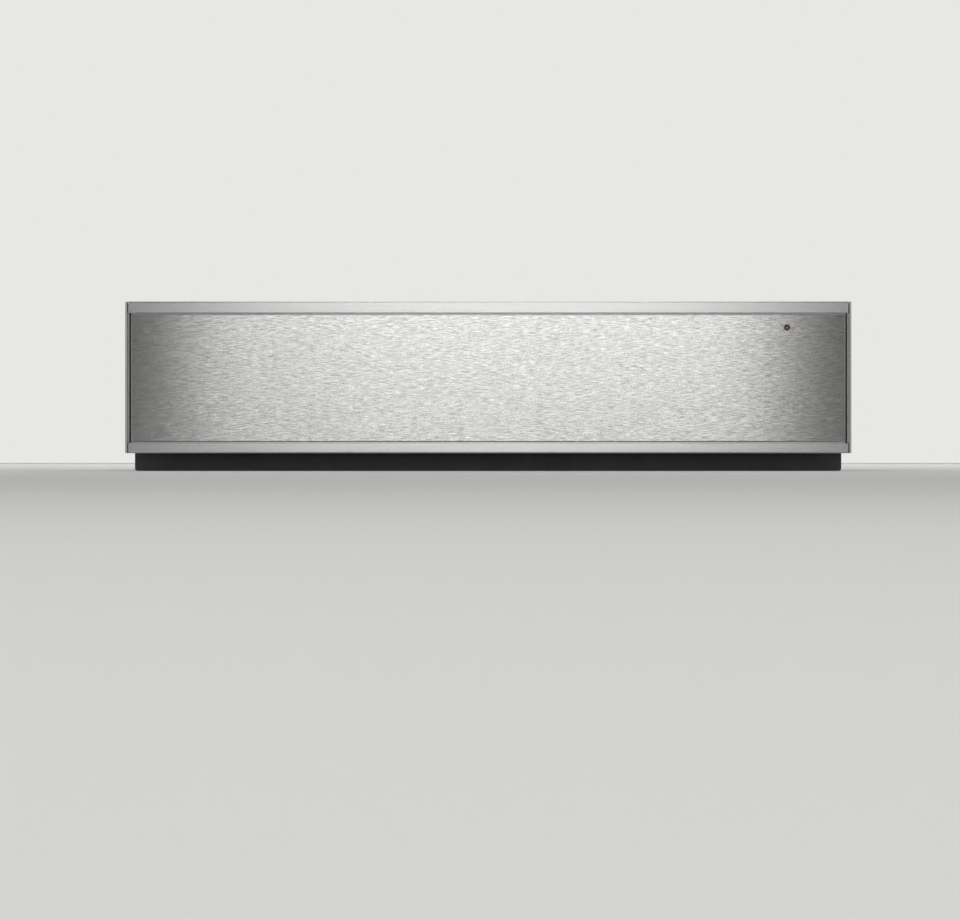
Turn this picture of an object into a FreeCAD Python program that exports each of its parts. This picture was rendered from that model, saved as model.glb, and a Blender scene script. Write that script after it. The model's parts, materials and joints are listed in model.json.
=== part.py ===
import FreeCAD, Part
import math
import os

from FreeCAD import Vector

# A built-in warming drawer, push-to-open, in millimetres.
# X runs across it, Y from front to back, Z up. The origin is the middle of the floor area it covers,
# at the underside of the casing, and the front faces -Y.

# ---- Appliance ----
FRONT_WIDTH = 590.0
FRONT_SIDE_COVER = 20.0          # how far the front reaches past each side of the casing
FRONT_DEPTH = 40.0
FRONT_BOTTOM = 14.5
FRONT_TOP_GAP = 0.5              # top of the casing to the top of the front
FRONT_STAND_OFF = 7.0            # back of the front to the cabinet's front edge
CASING_HEIGHT = 138.0
CASING_LENGTH = 519.0
SHEET = 1.0                      # steel sheet of the casing and of the drawer's shell
SHEET_BEND = 1.0                 # inside radius of its folds
CLEAR = 0.3                      # general clearance between pieces

# ---- Casing ----
TRAY_RETURN = 12.0
REAR_TAB = 12.0
REAR_WALL_SIDE_GAP = 1.0
COVER_BEAD_WIDTH = 12.0
COVER_BEAD_DEPTH = 1.5
BEAD_END_GAP = 69.5              # casing's ends to the ends of its beads
COVER_BEAD_COUNT = 4
FLOOR_BEAD_PITCH = 120.0
FLOOR_BEAD_COUNT = 4
VENT_COUNT = 8
VENT_PITCH = 12.0
VENT_WIDTH = 4.0
VENT_HEIGHT = 24.0
VENT_FROM_WALL = 59.0
FLANGE_SIDE = 17.0               # how far the flange reaches past each side of the casing
FLANGE_SHEET = 1.5
FLANGE_CORNER = 2.0
FLANGE_LOWER_BAR = 15.5
FLANGE_UPPER_BAR = 13.5
FLANGE_TAB_DEPTH = 12.0
FLANGE_TAB_HEIGHT = 26.0
FLANGE_TAB_LOW = 6.0
FLANGE_TAB_TOP_GAP = 8.0
FLANGE_HOLE_INSET_X = 6.0
FLANGE_HOLE_INSET_Z = 20.0
FLANGE_HOLE_R = 2.25
BUFFER_R = 4.0
BUFFER_TIP_R = 3.0
BUFFER_HEIGHT = 2.2
BUFFER_INSET_X = 13.5
BUFFER_RISE = 35.0               # above and below the flange's middle
CEILING_SHEET = 0.8
CEILING_DROP = 14.0              # cover to the underside of the ceiling
CEILING_TURN_UP = 9.0
CEILING_FRONT_GAP = 13.0
CEILING_REAR_GAP = 16.0

# ---- Slides ----
SLIDE_WIDTH = 12.7
SLIDE_HEIGHT = 45.7
SLIDE_REAR_GAP = 37.0
SLIDE_SET_BACK = 2.0             # cabinet front edge to the front end of the slides
SLIDE_Z = 60.0
SLIDE_SHEET = 1.2
BALL_R = 1.6
RACE_R = 1.8                     # radius of the grooves that the balls run in
RACE_HALF_GAP = 1.4              # ball centre to the flat of a flange
OUTER_BALL_V = 19.85             # height of the outer balls above the slide's middle
INNER_BALL_V = 15.05
OUTER_BALL_U = 6.0               # outer balls' distance from the casing wall
INNER_BALL_U = 7.5
FIXED_TIP = 9.1
MIDDLE_WEB = 2.2
MIDDLE_TIP = 10.3
DRAWER_TIP = 4.6
CAGE_SHEET = 0.4
CAGE_LENGTH = 180.0
OUTER_CAGE_WEB = 1.5
OUTER_CAGE_TIP = 8.2
INNER_CAGE_WEB = 3.9
INNER_CAGE_TIP = 9.7
CAGE_POCKET = 3.6                # side of the square pocket round a ball
BALLS_PER_ROW = 2
BALL_PITCH = 150.0

# ---- Drawer body ----
SHELL_REAR_GAP = 27.3            # back of the drawer to the back of the casing
SHELL_BOTTOM = 16.5
SHELL_RETURN = 10.0
WELL_SHEET = 0.8
WELL_SIDE_RIM = 27.3             # width of the rim beside the well
WELL_REAR_RIM = 38.0             # width of the rim behind it
BASE_HEIGHT = 14.5               # underside of the shell to the top of the glass
WELL_FRONT_INSET = 12.5          # shell front to well front
WELL_CORNER = 20.0
LEDGE_CORNER = 6.0
RIM_CLEARANCE = 2.0              # rim to the ceiling
RIM_BEND = 1.2
RIM_CORNER = 2.0
LEDGE_WIDTH = 16.0
GLASS_THICKNESS = 4.0
GLASS_CHAMFER = 0.6
GLASS_EDGE_GAP = 2.0             # well wall to the edge of the glass
GASKET_THICKNESS = 0.5
GASKET_BEAD = 3.0                # height of the sealing bead round the glass
GASKET_SET_BACK = 2.0            # ledge's edge to the gasket
CARRIER_DEPTH = 2.3
CARRIER_LAP = 10.0
ELEMENT_STRIP = 16.0
ELEMENT_THICKNESS = 1.2
ELEMENT_PITCH = 44.0
ELEMENT_MARGIN = 16.0
WOOL_THICKNESS = 14.0
WOOL_TOP_GAP = 1.5

# ---- Front ----
TOP_STRIP_HEIGHT = 9.4
BOTTOM_STRIP_HEIGHT = 8.2
STRIP_JOINT = 1.0                # dark line between a strip and the panel
STRIP_WALL = 1.5
STRIP_LEDGE_DROP = 8.0
STRIP_BEND = 0.3
PANEL_SIDE_GAP = 1.1             # dark line between a side profile and the panel
PANEL_CORNER = 0.4
PANEL_SET_BACK = 0.2
PANEL_RETURN = 3.6
PANEL_SHEET = 1.5
PANEL_EDGE_R = 1.2
PROFILE_WALL = 1.8
PROFILE_LIP = 3.7                # width of the side profile's face beside the panel
PROFILE_LIP_AT_STRIP = 2.2
PROFILE_EDGE_R = 1.5
PROFILE_LIP_R = 0.3
PROFILE_BACK_R = 0.5
PROFILE_RETURN = 12.0
STRIP_SEAM = 0.6
CARRIER_SHEET = 1.0
CARRIER_FOLD = 9.0
FRONT_SCREW_X = 200.0
FRONT_SCREW_LOW = 23.5           # lower screws above the underside of the shell
FRONT_SCREW_HIGH = 21.0          # upper screws below the rim

# ---- Indicator lamp ----
LAMP_INSET = 52.5                # from the front's right edge
LAMP_DROP = 10.7                 # from the panel's top edge
BEZEL_R = 2.5
BEZEL_BARREL_R = 2.0
BEZEL_LIP = 0.2
BEZEL_LENGTH = 7.0
LENS_R = 1.6
LENS_LENGTH = 6.5
LAMP_BODY_R = 4.0
LAMP_BODY_LENGTH = 16.0

# ---- Controls ----
KNOB_SET_BACK = 43.8             # front of the shell to the knob's middle
KNOB_R = 8.0
KNOB_HEIGHT = 7.0
KNOB_CHAMFER = 0.6
KNOB_CAP = 1.0                   # thickness over the spindle
KNOB_FLUTES = 8
KNOB_FLUTE_R = 1.2
DISH_R = 11.0
DISH_LIP = 1.5
DISH_DEPTH = 8.0
DISH_WALL = 1.0
DISH_LIP_HEIGHT = 0.5
SPINDLE_R = 3.0
SPINDLE_LENGTH = 20.0
SPINDLE_FIT = 0.05
SWITCH_BUSH_R = 4.5
SWITCH_BUSH_HEIGHT = 3.0
SWITCH_SIDE = 20.0
SWITCH_HEIGHT = 16.0

# ---- Air ----
FAN_DROP = 2.0                   # fan's middle below the well's middle
FAN_HEATER_GAP = 6.0             # wheel's edge to the ring heater's middle
FAN_HUB_R = 6.0
FAN_BLADE_REACH = 11.0           # eye to edge
FAN_BLADES = 11
FAN_BLADE_LENGTH = 12.0
FAN_BLADE_SHEET = 0.8
FAN_DISC = 1.2
FAN_GAP = 3.0                    # wheel to the well's rear wall, and to the duct's back
FAN_SHAFT_R = 1.5
FAN_SHAFT_END_GAP = 2.0          # shaft's end to the motor's back
DUCT_WIDTH = 220.0
DUCT_RISE = 15.0                 # above and below the air opening
DUCT_DEPTH = 22.0
DUCT_SHEET = 0.8
DUCT_CORNER = 15.0
DUCT_LAP = 8.0
MOTOR_R = 22.0
MOTOR_LENGTH = 12.5
MOTOR_CHAMFER = 2.0
MOTOR_FLANGE_R = 28.0
MOTOR_FLANGE_SHEET = 1.2
RING_HEATER_GAP = 6.0            # ring's middle to the duct's top
RING_HEATER_TUBE_R = 2.6
RING_HEATER_LEG_X = 9.0
RING_HEATER_LEG_OUT = 5.0
THERMOSTAT_R = 8.0
THERMOSTAT_LENGTH = 8.0
THERMOSTAT_X = -70.0
AIR_OPENING_WIDTH = 180.0
AIR_OPENING_MARGIN = 18.0        # to the glass and to the rim
AIR_OPENING_CORNER = 8.0
GRILLE_LAP = 8.0
GRILLE_SHEET = 0.8
GRILLE_SLOT_LENGTH = 18.0
GRILLE_SLOT_HEIGHT = 4.0
GRILLE_COLUMNS = 7
GRILLE_ROWS = 5
GRILLE_SIDE_MARGIN = 9.0         # outer slots to the sides of the air opening
GRILLE_MARGIN = 6.0              # outer rows to its top and bottom

# ---- Push-to-open latches and mains inlet ----
LATCH_X = 120.0
LATCH_Z = 60.0
LATCH_WIDTH = 30.0
LATCH_HEIGHT = 30.0
LATCH_LENGTH = 20.5
LATCH_EAR = 12.0
LATCH_EAR_SHEET = 2.5
LATCH_BORE_R = 4.6
LATCH_BORE_DEPTH = 17.0
LATCH_EDGE_R = 3.0
STRIKER_PLATE = 1.5
STRIKER_WIDTH = 24.0
STRIKER_HEIGHT = 16.0
STRIKER_CORNER = 2.0
STRIKER_PIN_R = 2.6
STRIKER_HEAD_R = 3.8
STRIKER_HEAD_LENGTH = 4.0
STRIKER_LENGTH = 14.0
GLAND_FROM_WALL = 32.0
GLAND_DROP = 37.0                # cover to the gland's middle
GLAND_BORE_R = 4.0
GLAND_BODY = 16.0
GLAND_FLANGE = 24.0
GLAND_FLANGE_SHEET = 2.0
GLAND_CORNER = 3.0
GLAND_NOSE_R = 7.0
GLAND_PROJECTION = 8.0           # gland nose past the casing's rear wall
GLAND_INNER = 12.0               # gland body inside the rear wall's outer face
GLAND_FIT = 0.2
TERMINAL_FROM_GLAND = 30.0
TERMINAL_WIDTH = 26.0
TERMINAL_HEIGHT = 16.0
TERMINAL_DEPTH = 13.0
TERMINAL_POLES = 3
TERMINAL_BORE_R = 2.0
INLET_COVER_WIDTH = 66.0
INLET_COVER_HEIGHT = 30.0
INLET_COVER_DEPTH = 18.0
INLET_COVER_WALL = 1.5
INLET_COVER_CORNER = 3.0
INLET_COVER_FROM_GLAND = 17.0

# ---- Screws ----
SCREW_HEAD_R = 3.4
SCREW_HEAD_HEIGHT = 1.6
SCREW_SHANK_R = 1.6

# ---- Places that follow ----
OVERALL_DEPTH = FRONT_DEPTH + FRONT_STAND_OFF + CASING_LENGTH + GLAND_PROJECTION
FRONT_Y = -OVERALL_DEPTH / 2
FRONT_BACK_Y = FRONT_Y + FRONT_DEPTH
CABINET_Y = FRONT_BACK_Y + FRONT_STAND_OFF
CASING_REAR_Y = CABINET_Y + CASING_LENGTH
CASING_HALF = FRONT_WIDTH / 2 - FRONT_SIDE_COVER
WALL_X = CASING_HALF - SHEET                       # inner face of the casing's side wall
COVER_Z = CASING_HEIGHT - SHEET
CEILING_Z = COVER_Z - CEILING_DROP
COVER_BEAD_PITCH = 2 * CASING_HALF / (COVER_BEAD_COUNT + 1)
FLANGE_HALF = CASING_HALF + FLANGE_SIDE
FLANGE_OPENING_HALF = WALL_X - FLANGE_SHEET
FLANGE_TAB_HIGH = CASING_HEIGHT - FLANGE_TAB_TOP_GAP - FLANGE_TAB_HEIGHT
SHELL_HALF = WALL_X - SLIDE_WIDTH
SHELL_FRONT_Y = FRONT_BACK_Y - PROFILE_WALL
SHELL_REAR_Y = CASING_REAR_Y - SHELL_REAR_GAP
RIM_TOP = CEILING_Z - RIM_CLEARANCE
RIM_Z = RIM_TOP - WELL_SHEET
WELL_HALF = SHELL_HALF - WELL_SIDE_RIM
WELL_FRONT_Y = SHELL_FRONT_Y + WELL_FRONT_INSET
WELL_REAR_Y = SHELL_REAR_Y - WELL_REAR_RIM
WELL_BACK_Y = WELL_REAR_Y + WELL_SHEET
GLASS_TOP = SHELL_BOTTOM + BASE_HEIGHT
GLASS_Z = GLASS_TOP - GLASS_THICKNESS
LEDGE_TOP = GLASS_Z - GASKET_THICKNESS
LEDGE_Z = LEDGE_TOP - WELL_SHEET
CARRIER_Z = LEDGE_Z - CARRIER_DEPTH
FRONT_TOP = CASING_HEIGHT - FRONT_TOP_GAP
FRONT_HALF = FRONT_WIDTH / 2
PANEL_Z = FRONT_BOTTOM + BOTTOM_STRIP_HEIGHT + STRIP_JOINT
PANEL_TOP = FRONT_TOP - TOP_STRIP_HEIGHT - STRIP_JOINT
PANEL_HALF = FRONT_HALF - PROFILE_LIP - PANEL_SIDE_GAP
PANEL_Y = FRONT_Y + PANEL_SET_BACK
LEDGE_FACE_Y = PANEL_Y + PANEL_RETURN              # what the panel's folded edge rests on
STRIP_HALF = FRONT_HALF - PROFILE_LIP_AT_STRIP - STRIP_SEAM
SHEET_BACK_Y = SHELL_FRONT_Y - CARRIER_SHEET       # front face of the front's inner sheet
LAMP_X = FRONT_HALF - LAMP_INSET
LAMP_Z = PANEL_TOP - LAMP_DROP
KNOB_X = (WELL_HALF + WELL_SHEET + SHELL_HALF) / 2
KNOB_Y = SHELL_FRONT_Y + KNOB_SET_BACK
DISH_FLOOR_Z = RIM_TOP - DISH_DEPTH
AIR_OPENING_HEIGHT = RIM_TOP - GLASS_TOP - 2 * AIR_OPENING_MARGIN
FAN_Z = (GLASS_TOP + RIM_TOP) / 2 - FAN_DROP
DUCT_HEIGHT = AIR_OPENING_HEIGHT + 2 * DUCT_RISE
DUCT_BACK_Y = WELL_BACK_Y + DUCT_DEPTH
RING_HEATER_R = DUCT_HEIGHT / 2 - RING_HEATER_GAP
FAN_R = RING_HEATER_R - FAN_HEATER_GAP
FAN_EYE_R = FAN_R - FAN_BLADE_REACH
SLIDE_FRONT_Y = CABINET_Y + SLIDE_SET_BACK
SLIDE_REAR_Y = CASING_REAR_Y - SLIDE_REAR_GAP
SLIDE_MIDDLE_Y = (SLIDE_FRONT_Y + SLIDE_REAR_Y) / 2
INNER_REAR_Y = CASING_REAR_Y - SHEET               # inner face of the casing's rear wall
GLAND_X = WALL_X - GLAND_FROM_WALL
GLAND_Z = COVER_Z - GLAND_DROP
TERMINAL_X = GLAND_X - TERMINAL_FROM_GLAND
INLET_COVER_X = GLAND_X - INLET_COVER_FROM_GLAND
VENT_X = -WALL_X + VENT_FROM_WALL

X_AXIS = Vector(1, 0, 0)
Y_AXIS = Vector(0, 1, 0)
Z_AXIS = Vector(0, 0, 1)
ORIGIN = Vector(0, 0, 0)
LEFT_AND_RIGHT = ((-1, "left"), (1, "right"))


# ---- Shape helpers ----

def box(x0, x1, y0, y1, z0, z1):
    """Block between two opposite corners."""
    return Part.makeBox(x1 - x0, y1 - y0, z1 - z0, Vector(x0, y0, z0))


def rod(radius, start, axis, length):
    """Cylinder from a start point along an axis."""
    return Part.makeCylinder(radius, length, start, axis)


def outline(corners, place):
    """Closed wire through corners (a, b, radius), set in space by place(a, b)."""
    flat = [Vector(a, b, 0) for a, b, _ in corners]
    bends = []
    for index, (_, _, radius) in enumerate(corners):
        here = flat[index]
        back = (flat[index - 1] - here).normalize()
        ahead = (flat[(index + 1) % len(flat)] - here).normalize()
        if radius > 0:
            half = back.getAngle(ahead) / 2
            reach = radius / math.tan(half)
            middle = here + (back + ahead).normalize() * (radius / math.sin(half) - radius)
            bends.append((here + back * reach, middle, here + ahead * reach))
        else:
            bends.append((here, None, here))
    edges = []
    for (start, middle, end), following in zip(bends, bends[1:] + bends[:1]):
        if middle is not None:
            arc = Part.Arc(place(start.x, start.y), place(middle.x, middle.y), place(end.x, end.y))
            edges.append(arc.toShape())
        if (following[0] - end).Length > 1e-6:
            edges.append(Part.makeLine(place(end.x, end.y), place(following[0].x, following[0].y)))
    return Part.Wire(edges)


def along_x(corners, x0, x1):
    """Section in (y, z), drawn out from x0 to x1."""
    wire = outline(corners, lambda a, b: Vector(x0, a, b))
    return Part.Face(wire).extrude(X_AXIS * (x1 - x0))


def along_y(corners, y0, y1):
    """Section in (x, z), drawn out from y0 to y1."""
    wire = outline(corners, lambda a, b: Vector(a, y0, b))
    return Part.Face(wire).extrude(Y_AXIS * (y1 - y0))


def along_z(corners, z0, z1):
    """Section in (x, y), drawn out from z0 to z1."""
    wire = outline(corners, lambda a, b: Vector(a, b, z0))
    return Part.Face(wire).extrude(Z_AXIS * (z1 - z0))


def rounded_rectangle(a0, a1, b0, b1, radius):
    """Corners of a rectangle with one radius."""
    return [(a0, b0, radius), (a1, b0, radius), (a1, b1, radius), (a0, b1, radius)]


def folded_sheet(points, thickness, bend, side):
    """Corners of a folded sheet's section. One surface runs through the points; the sheet lies to their
    left (side 1) or right (side -1). The inside radius of each fold is bend."""
    flat = [Vector(a, b, 0) for a, b in points]
    runs = [(q - p).normalize() for p, q in zip(flat, flat[1:])]
    normals = [Vector(-run.y, run.x, 0) * side for run in runs]
    near = [(flat[0].x, flat[0].y, 0)]
    far = [flat[0] + normals[0] * thickness]
    far = [(far[0].x, far[0].y, 0)]
    for index in range(1, len(flat) - 1):
        before, after = normals[index - 1], normals[index]
        turned = runs[index - 1].cross(runs[index]).z * side
        folded_towards = turned > 0
        near.append((flat[index].x, flat[index].y, bend + thickness if folded_towards else bend))
        shift = (before + after) * (thickness / (1 + before.dot(after)))
        corner = flat[index] + shift
        far.append((corner.x, corner.y, bend if folded_towards else bend + thickness))
    end = flat[-1] + normals[-1] * thickness
    near.append((flat[-1].x, flat[-1].y, 0))
    far.append((end.x, end.y, 0))
    return near + far[::-1]


def edges_near(shape, test):
    """Edges whose middle point passes a test."""
    found = []
    for edge in shape.Edges:
        middle = edge.valueAt((edge.FirstParameter + edge.LastParameter) / 2)
        if test(middle):
            found.append(edge)
    return found


def mirrored(shape):
    """The same piece on the other side of the drawer."""
    return shape.mirror(ORIGIN, X_AXIS)


def on_side(shape, side):
    """A right-hand piece as it is, or its left-hand twin."""
    return shape if side > 0 else mirrored(shape)


def screw(head_seat, direction, grip):
    """Pan-head screw: the head lies on its seat, the shank runs from it along direction."""
    head = rod(SCREW_HEAD_R, head_seat - direction * SCREW_HEAD_HEIGHT, direction, SCREW_HEAD_HEIGHT)
    shank = rod(SCREW_SHANK_R, head_seat, direction, grip)
    return head.fuse(shank).removeSplitter()


def spread(count, pitch):
    """Places of evenly spaced copies about zero."""
    return [(index - (count - 1) / 2) * pitch for index in range(count)]


# ---- Casing ----

def bead(x, y0, y1, surface_z, up):
    """Pressed stiffening bead in a flat sheet: what it adds on one side and takes away on the other."""
    half = COVER_BEAD_WIDTH / 2
    radius = (half ** 2 + COVER_BEAD_DEPTH ** 2) / (2 * COVER_BEAD_DEPTH)
    centre_z = surface_z - up * (radius - COVER_BEAD_DEPTH)
    hollow = rod(radius, Vector(x, y0 + SHEET, centre_z), Y_AXIS, y1 - y0 - 2 * SHEET)
    skin = rod(radius + SHEET, Vector(x, y0, centre_z), Y_AXIS, y1 - y0)
    return skin, hollow


def beaded(sheet, places, surface_z, up):
    """Sheet with beads: surface_z is the face that the hollows are pressed into."""
    y0, y1 = CABINET_Y + BEAD_END_GAP, CASING_REAR_Y - BEAD_END_GAP
    reach = up * (COVER_BEAD_DEPTH + 2 * SHEET)
    for x in places:
        skin, hollow = bead(x, y0, y1, surface_z, up)
        low, high = sorted((surface_z + up * SHEET / 2, surface_z + reach))
        kept = skin.common(box(x - COVER_BEAD_WIDTH, x + COVER_BEAD_WIDTH, y0, y1, low, high))
        low, high = sorted((surface_z - up * SHEET, surface_z + reach))
        pressed = hollow.common(box(x - COVER_BEAD_WIDTH, x + COVER_BEAD_WIDTH, y0, y1, low, high))
        sheet = sheet.fuse(kept).cut(pressed)
    return sheet.removeSplitter()


def screw_hole(x, y, z, axis):
    """Clearance hole for a screw's shank, long enough for two sheets."""
    return rod(SCREW_SHANK_R, Vector(x, y, z) - axis * 4, axis, 8)


def flange_screw_places():
    """Where the mounting flange's side tabs are screwed to the tray, as (y, z)."""
    y = CABINET_Y + FLANGE_TAB_DEPTH / 2
    return [(y, z + FLANGE_TAB_HEIGHT / 2) for z in (FLANGE_TAB_LOW, FLANGE_TAB_HIGH)]


def casing_tray():
    """Floor and side walls in one folded sheet, with the top edges turned in."""
    half = CASING_HALF
    points = [(-half + TRAY_RETURN, COVER_Z), (-half, COVER_Z), (-half, 0)]
    points += [(half, 0), (half, COVER_Z), (half - TRAY_RETURN, COVER_Z)]
    tray = along_y(folded_sheet(points, SHEET, SHEET_BEND, 1), CABINET_Y, CASING_REAR_Y)
    tray = beaded(tray, spread(FLOOR_BEAD_COUNT, FLOOR_BEAD_PITCH), 0, 1)
    for side, _ in LEFT_AND_RIGHT:
        for y, z in flange_screw_places():
            tray = tray.cut(screw_hole(side * WALL_X, y, z, X_AXIS))
    return tray


def casing_rear_wall():
    """Rear wall with its edges folded forward onto the floor and under the cover, vents and inlet cut-out."""
    points = [(CASING_REAR_Y - REAR_TAB, SHEET), (CASING_REAR_Y, SHEET)]
    points += [(CASING_REAR_Y, COVER_Z), (CASING_REAR_Y - REAR_TAB, COVER_Z)]
    half = WALL_X - REAR_WALL_SIDE_GAP
    wall = along_x(folded_sheet(points, SHEET, SHEET_BEND, 1), -half, half)
    notch_x = CASING_HALF - TRAY_RETURN - CLEAR
    notch_z = COVER_Z - SHEET - CLEAR
    for side, _ in LEFT_AND_RIGHT:
        corner = box(notch_x, CASING_HALF, CASING_REAR_Y - REAR_TAB, CASING_REAR_Y, notch_z, COVER_Z)
        wall = wall.cut(on_side(corner, side))
    for index in range(VENT_COUNT):
        x = VENT_X + index * VENT_PITCH
        wall = wall.cut(box(x, x + VENT_WIDTH, INNER_REAR_Y - 1, CASING_REAR_Y + 1,
                            GLAND_Z - VENT_HEIGHT / 2, GLAND_Z + VENT_HEIGHT / 2))
    reach = GLAND_BODY / 2 + GLAND_FIT
    wall = wall.cut(box(GLAND_X - reach, GLAND_X + reach, INNER_REAR_Y - 1, CASING_REAR_Y + 1,
                        GLAND_Z - reach, GLAND_Z + reach))
    return wall


def casing_top_cover():
    """Flat cover with beads pressed down into it."""
    cover = box(-CASING_HALF, CASING_HALF, CABINET_Y, CASING_REAR_Y, COVER_Z, CASING_HEIGHT)
    return beaded(cover, spread(COVER_BEAD_COUNT, COVER_BEAD_PITCH), CASING_HEIGHT, -1)


def flange_hole_places():
    """Where the cabinet screws go, as (x, z)."""
    far_x = FLANGE_HALF - FLANGE_HOLE_INSET_X
    heights = (FLANGE_HOLE_INSET_Z, CASING_HEIGHT - FLANGE_HOLE_INSET_Z)
    return [(x, z) for x in (-far_x, far_x) for z in heights]


def mounting_flange():
    """Frame round the drawer's opening, with tabs into the tray and holes for the cabinet screws."""
    plate = rounded_rectangle(-FLANGE_HALF, FLANGE_HALF, 0, CASING_HEIGHT, FLANGE_CORNER)
    front = CABINET_Y - FLANGE_SHEET
    flange = along_y(plate, front, CABINET_Y)
    opening_top = CASING_HEIGHT - FLANGE_UPPER_BAR
    opening = box(-FLANGE_OPENING_HALF, FLANGE_OPENING_HALF, front - 1, CABINET_Y + 1,
                  FLANGE_LOWER_BAR, opening_top)
    flange = flange.cut(opening)
    for side, _ in LEFT_AND_RIGHT:
        for low in (FLANGE_TAB_LOW, FLANGE_TAB_HIGH):
            tab = box(FLANGE_OPENING_HALF, WALL_X, CABINET_Y - FLANGE_SHEET / 2, CABINET_Y + FLANGE_TAB_DEPTH,
                      low, low + FLANGE_TAB_HEIGHT)
            flange = flange.fuse(on_side(tab, side))
        for y, z in flange_screw_places():
            flange = flange.cut(screw_hole(side * WALL_X, y, z, X_AXIS))
    for x, z in flange_hole_places():
        flange = flange.cut(rod(FLANGE_HOLE_R, Vector(x, front - 1, z), Y_AXIS, FLANGE_SHEET + 2))
    return flange.removeSplitter()


def cavity_ceiling():
    """Sheet over the closed drawer, its sides turned up against the casing walls."""
    top = CEILING_Z + CEILING_TURN_UP
    points = [(-WALL_X, top), (-WALL_X, CEILING_Z), (WALL_X, CEILING_Z), (WALL_X, top)]
    section = folded_sheet(points, CEILING_SHEET, SHEET_BEND, 1)
    return along_y(section, CABINET_Y + CEILING_FRONT_GAP, CASING_REAR_Y - CEILING_REAR_GAP)


def ceiling_insulation():
    """Mineral wool between the ceiling and the cover's beads."""
    half = WALL_X - CEILING_SHEET - SHEET_BEND - CLEAR
    low = CEILING_Z + CEILING_SHEET
    high = COVER_Z - COVER_BEAD_DEPTH - CLEAR
    return box(-half, half, CABINET_Y + CEILING_FRONT_GAP + CLEAR, CASING_REAR_Y - CEILING_REAR_GAP - CLEAR,
               low + CLEAR, high)


def stop_buffers():
    """Four rubber buds on the flange that stop the front after its push."""
    face = CABINET_Y - FLANGE_SHEET
    far_x = FLANGE_HALF - BUFFER_INSET_X
    buds = []
    for x in (-far_x, far_x):
        for rise in (-BUFFER_RISE, BUFFER_RISE):
            seat = Vector(x, face, CASING_HEIGHT / 2 + rise)
            buds.append(Part.makeCone(BUFFER_R, BUFFER_TIP_R, BUFFER_HEIGHT, seat, -Y_AXIS))
    return Part.makeCompound(buds)


def casing_screws():
    """Screws through the tray's side walls into the flange's tabs."""
    screws = []
    for side, _ in LEFT_AND_RIGHT:
        for y, z in flange_screw_places():
            seat = Vector(side * CASING_HALF, y, z)
            screws.append(screw(seat, X_AXIS * -side, SHEET + FLANGE_SHEET))
    return Part.makeCompound(screws)


# ---- Slides: built on the right, mirrored for the left ----

def slide_x(u):
    """X of a point that lies u inward from the casing wall."""
    return WALL_X - u


def channel(web_u, tip_u, web, outer_v, inner_v):
    """One slide member: a web with a flange above and below, drawn out along Y."""
    direction = 1 if tip_u > web_u else -1
    root_u = web_u + direction * web
    corner = SLIDE_SHEET
    corners = [(slide_x(web_u), SLIDE_Z - outer_v, corner), (slide_x(tip_u), SLIDE_Z - outer_v, 0),
               (slide_x(tip_u), SLIDE_Z - inner_v, 0), (slide_x(root_u), SLIDE_Z - inner_v, 0),
               (slide_x(root_u), SLIDE_Z + inner_v, 0), (slide_x(tip_u), SLIDE_Z + inner_v, 0),
               (slide_x(tip_u), SLIDE_Z + outer_v, 0), (slide_x(web_u), SLIDE_Z + outer_v, corner)]
    return along_y(corners, SLIDE_FRONT_Y, SLIDE_REAR_Y)


def race(ball_u, ball_v):
    """The two grooves, above and below, that one pair of ball rows runs in."""
    length = SLIDE_REAR_Y - SLIDE_FRONT_Y + 2
    tracks = [rod(RACE_R, Vector(slide_x(ball_u), SLIDE_FRONT_Y - 1, SLIDE_Z + v), Y_AXIS, length)
              for v in (-ball_v, ball_v)]
    return tracks[0].fuse(tracks[1])


def rail_fixed():
    """Member screwed to the casing wall."""
    rail = channel(0, FIXED_TIP, SLIDE_SHEET, SLIDE_HEIGHT / 2, OUTER_BALL_V + RACE_HALF_GAP)
    return rail.cut(race(OUTER_BALL_U, OUTER_BALL_V))


def rail_middle():
    """Member that travels half as far as the drawer, with a groove on both sides of each flange."""
    rail = channel(MIDDLE_WEB, MIDDLE_TIP, SLIDE_SHEET, OUTER_BALL_V - RACE_HALF_GAP,
                   INNER_BALL_V + RACE_HALF_GAP)
    return rail.cut(race(OUTER_BALL_U, OUTER_BALL_V)).cut(race(INNER_BALL_U, INNER_BALL_V))


def rail_drawer():
    """Member screwed to the drawer's shell."""
    outer_v = INNER_BALL_V - RACE_HALF_GAP
    inner_v = outer_v - SLIDE_SHEET - RACE_R + RACE_HALF_GAP
    rail = channel(SLIDE_WIDTH, DRAWER_TIP, SLIDE_SHEET, outer_v, inner_v)
    return rail.cut(race(INNER_BALL_U, INNER_BALL_V))


def faceted_ball(radius, centre):
    """Ball with few flat faces: what three octagonal bars along X, Y and Z have in common."""
    flat = radius * math.tan(math.pi / 8)
    octagon = [(radius, -flat, 0), (radius, flat, 0), (flat, radius, 0), (-flat, radius, 0),
               (-radius, flat, 0), (-radius, -flat, 0), (-flat, -radius, 0), (flat, -radius, 0)]
    ball = along_z(octagon, -radius, radius)
    ball = ball.common(along_y(octagon, -radius, radius)).common(along_x(octagon, -radius, radius))
    ball.translate(centre)
    return ball


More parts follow.
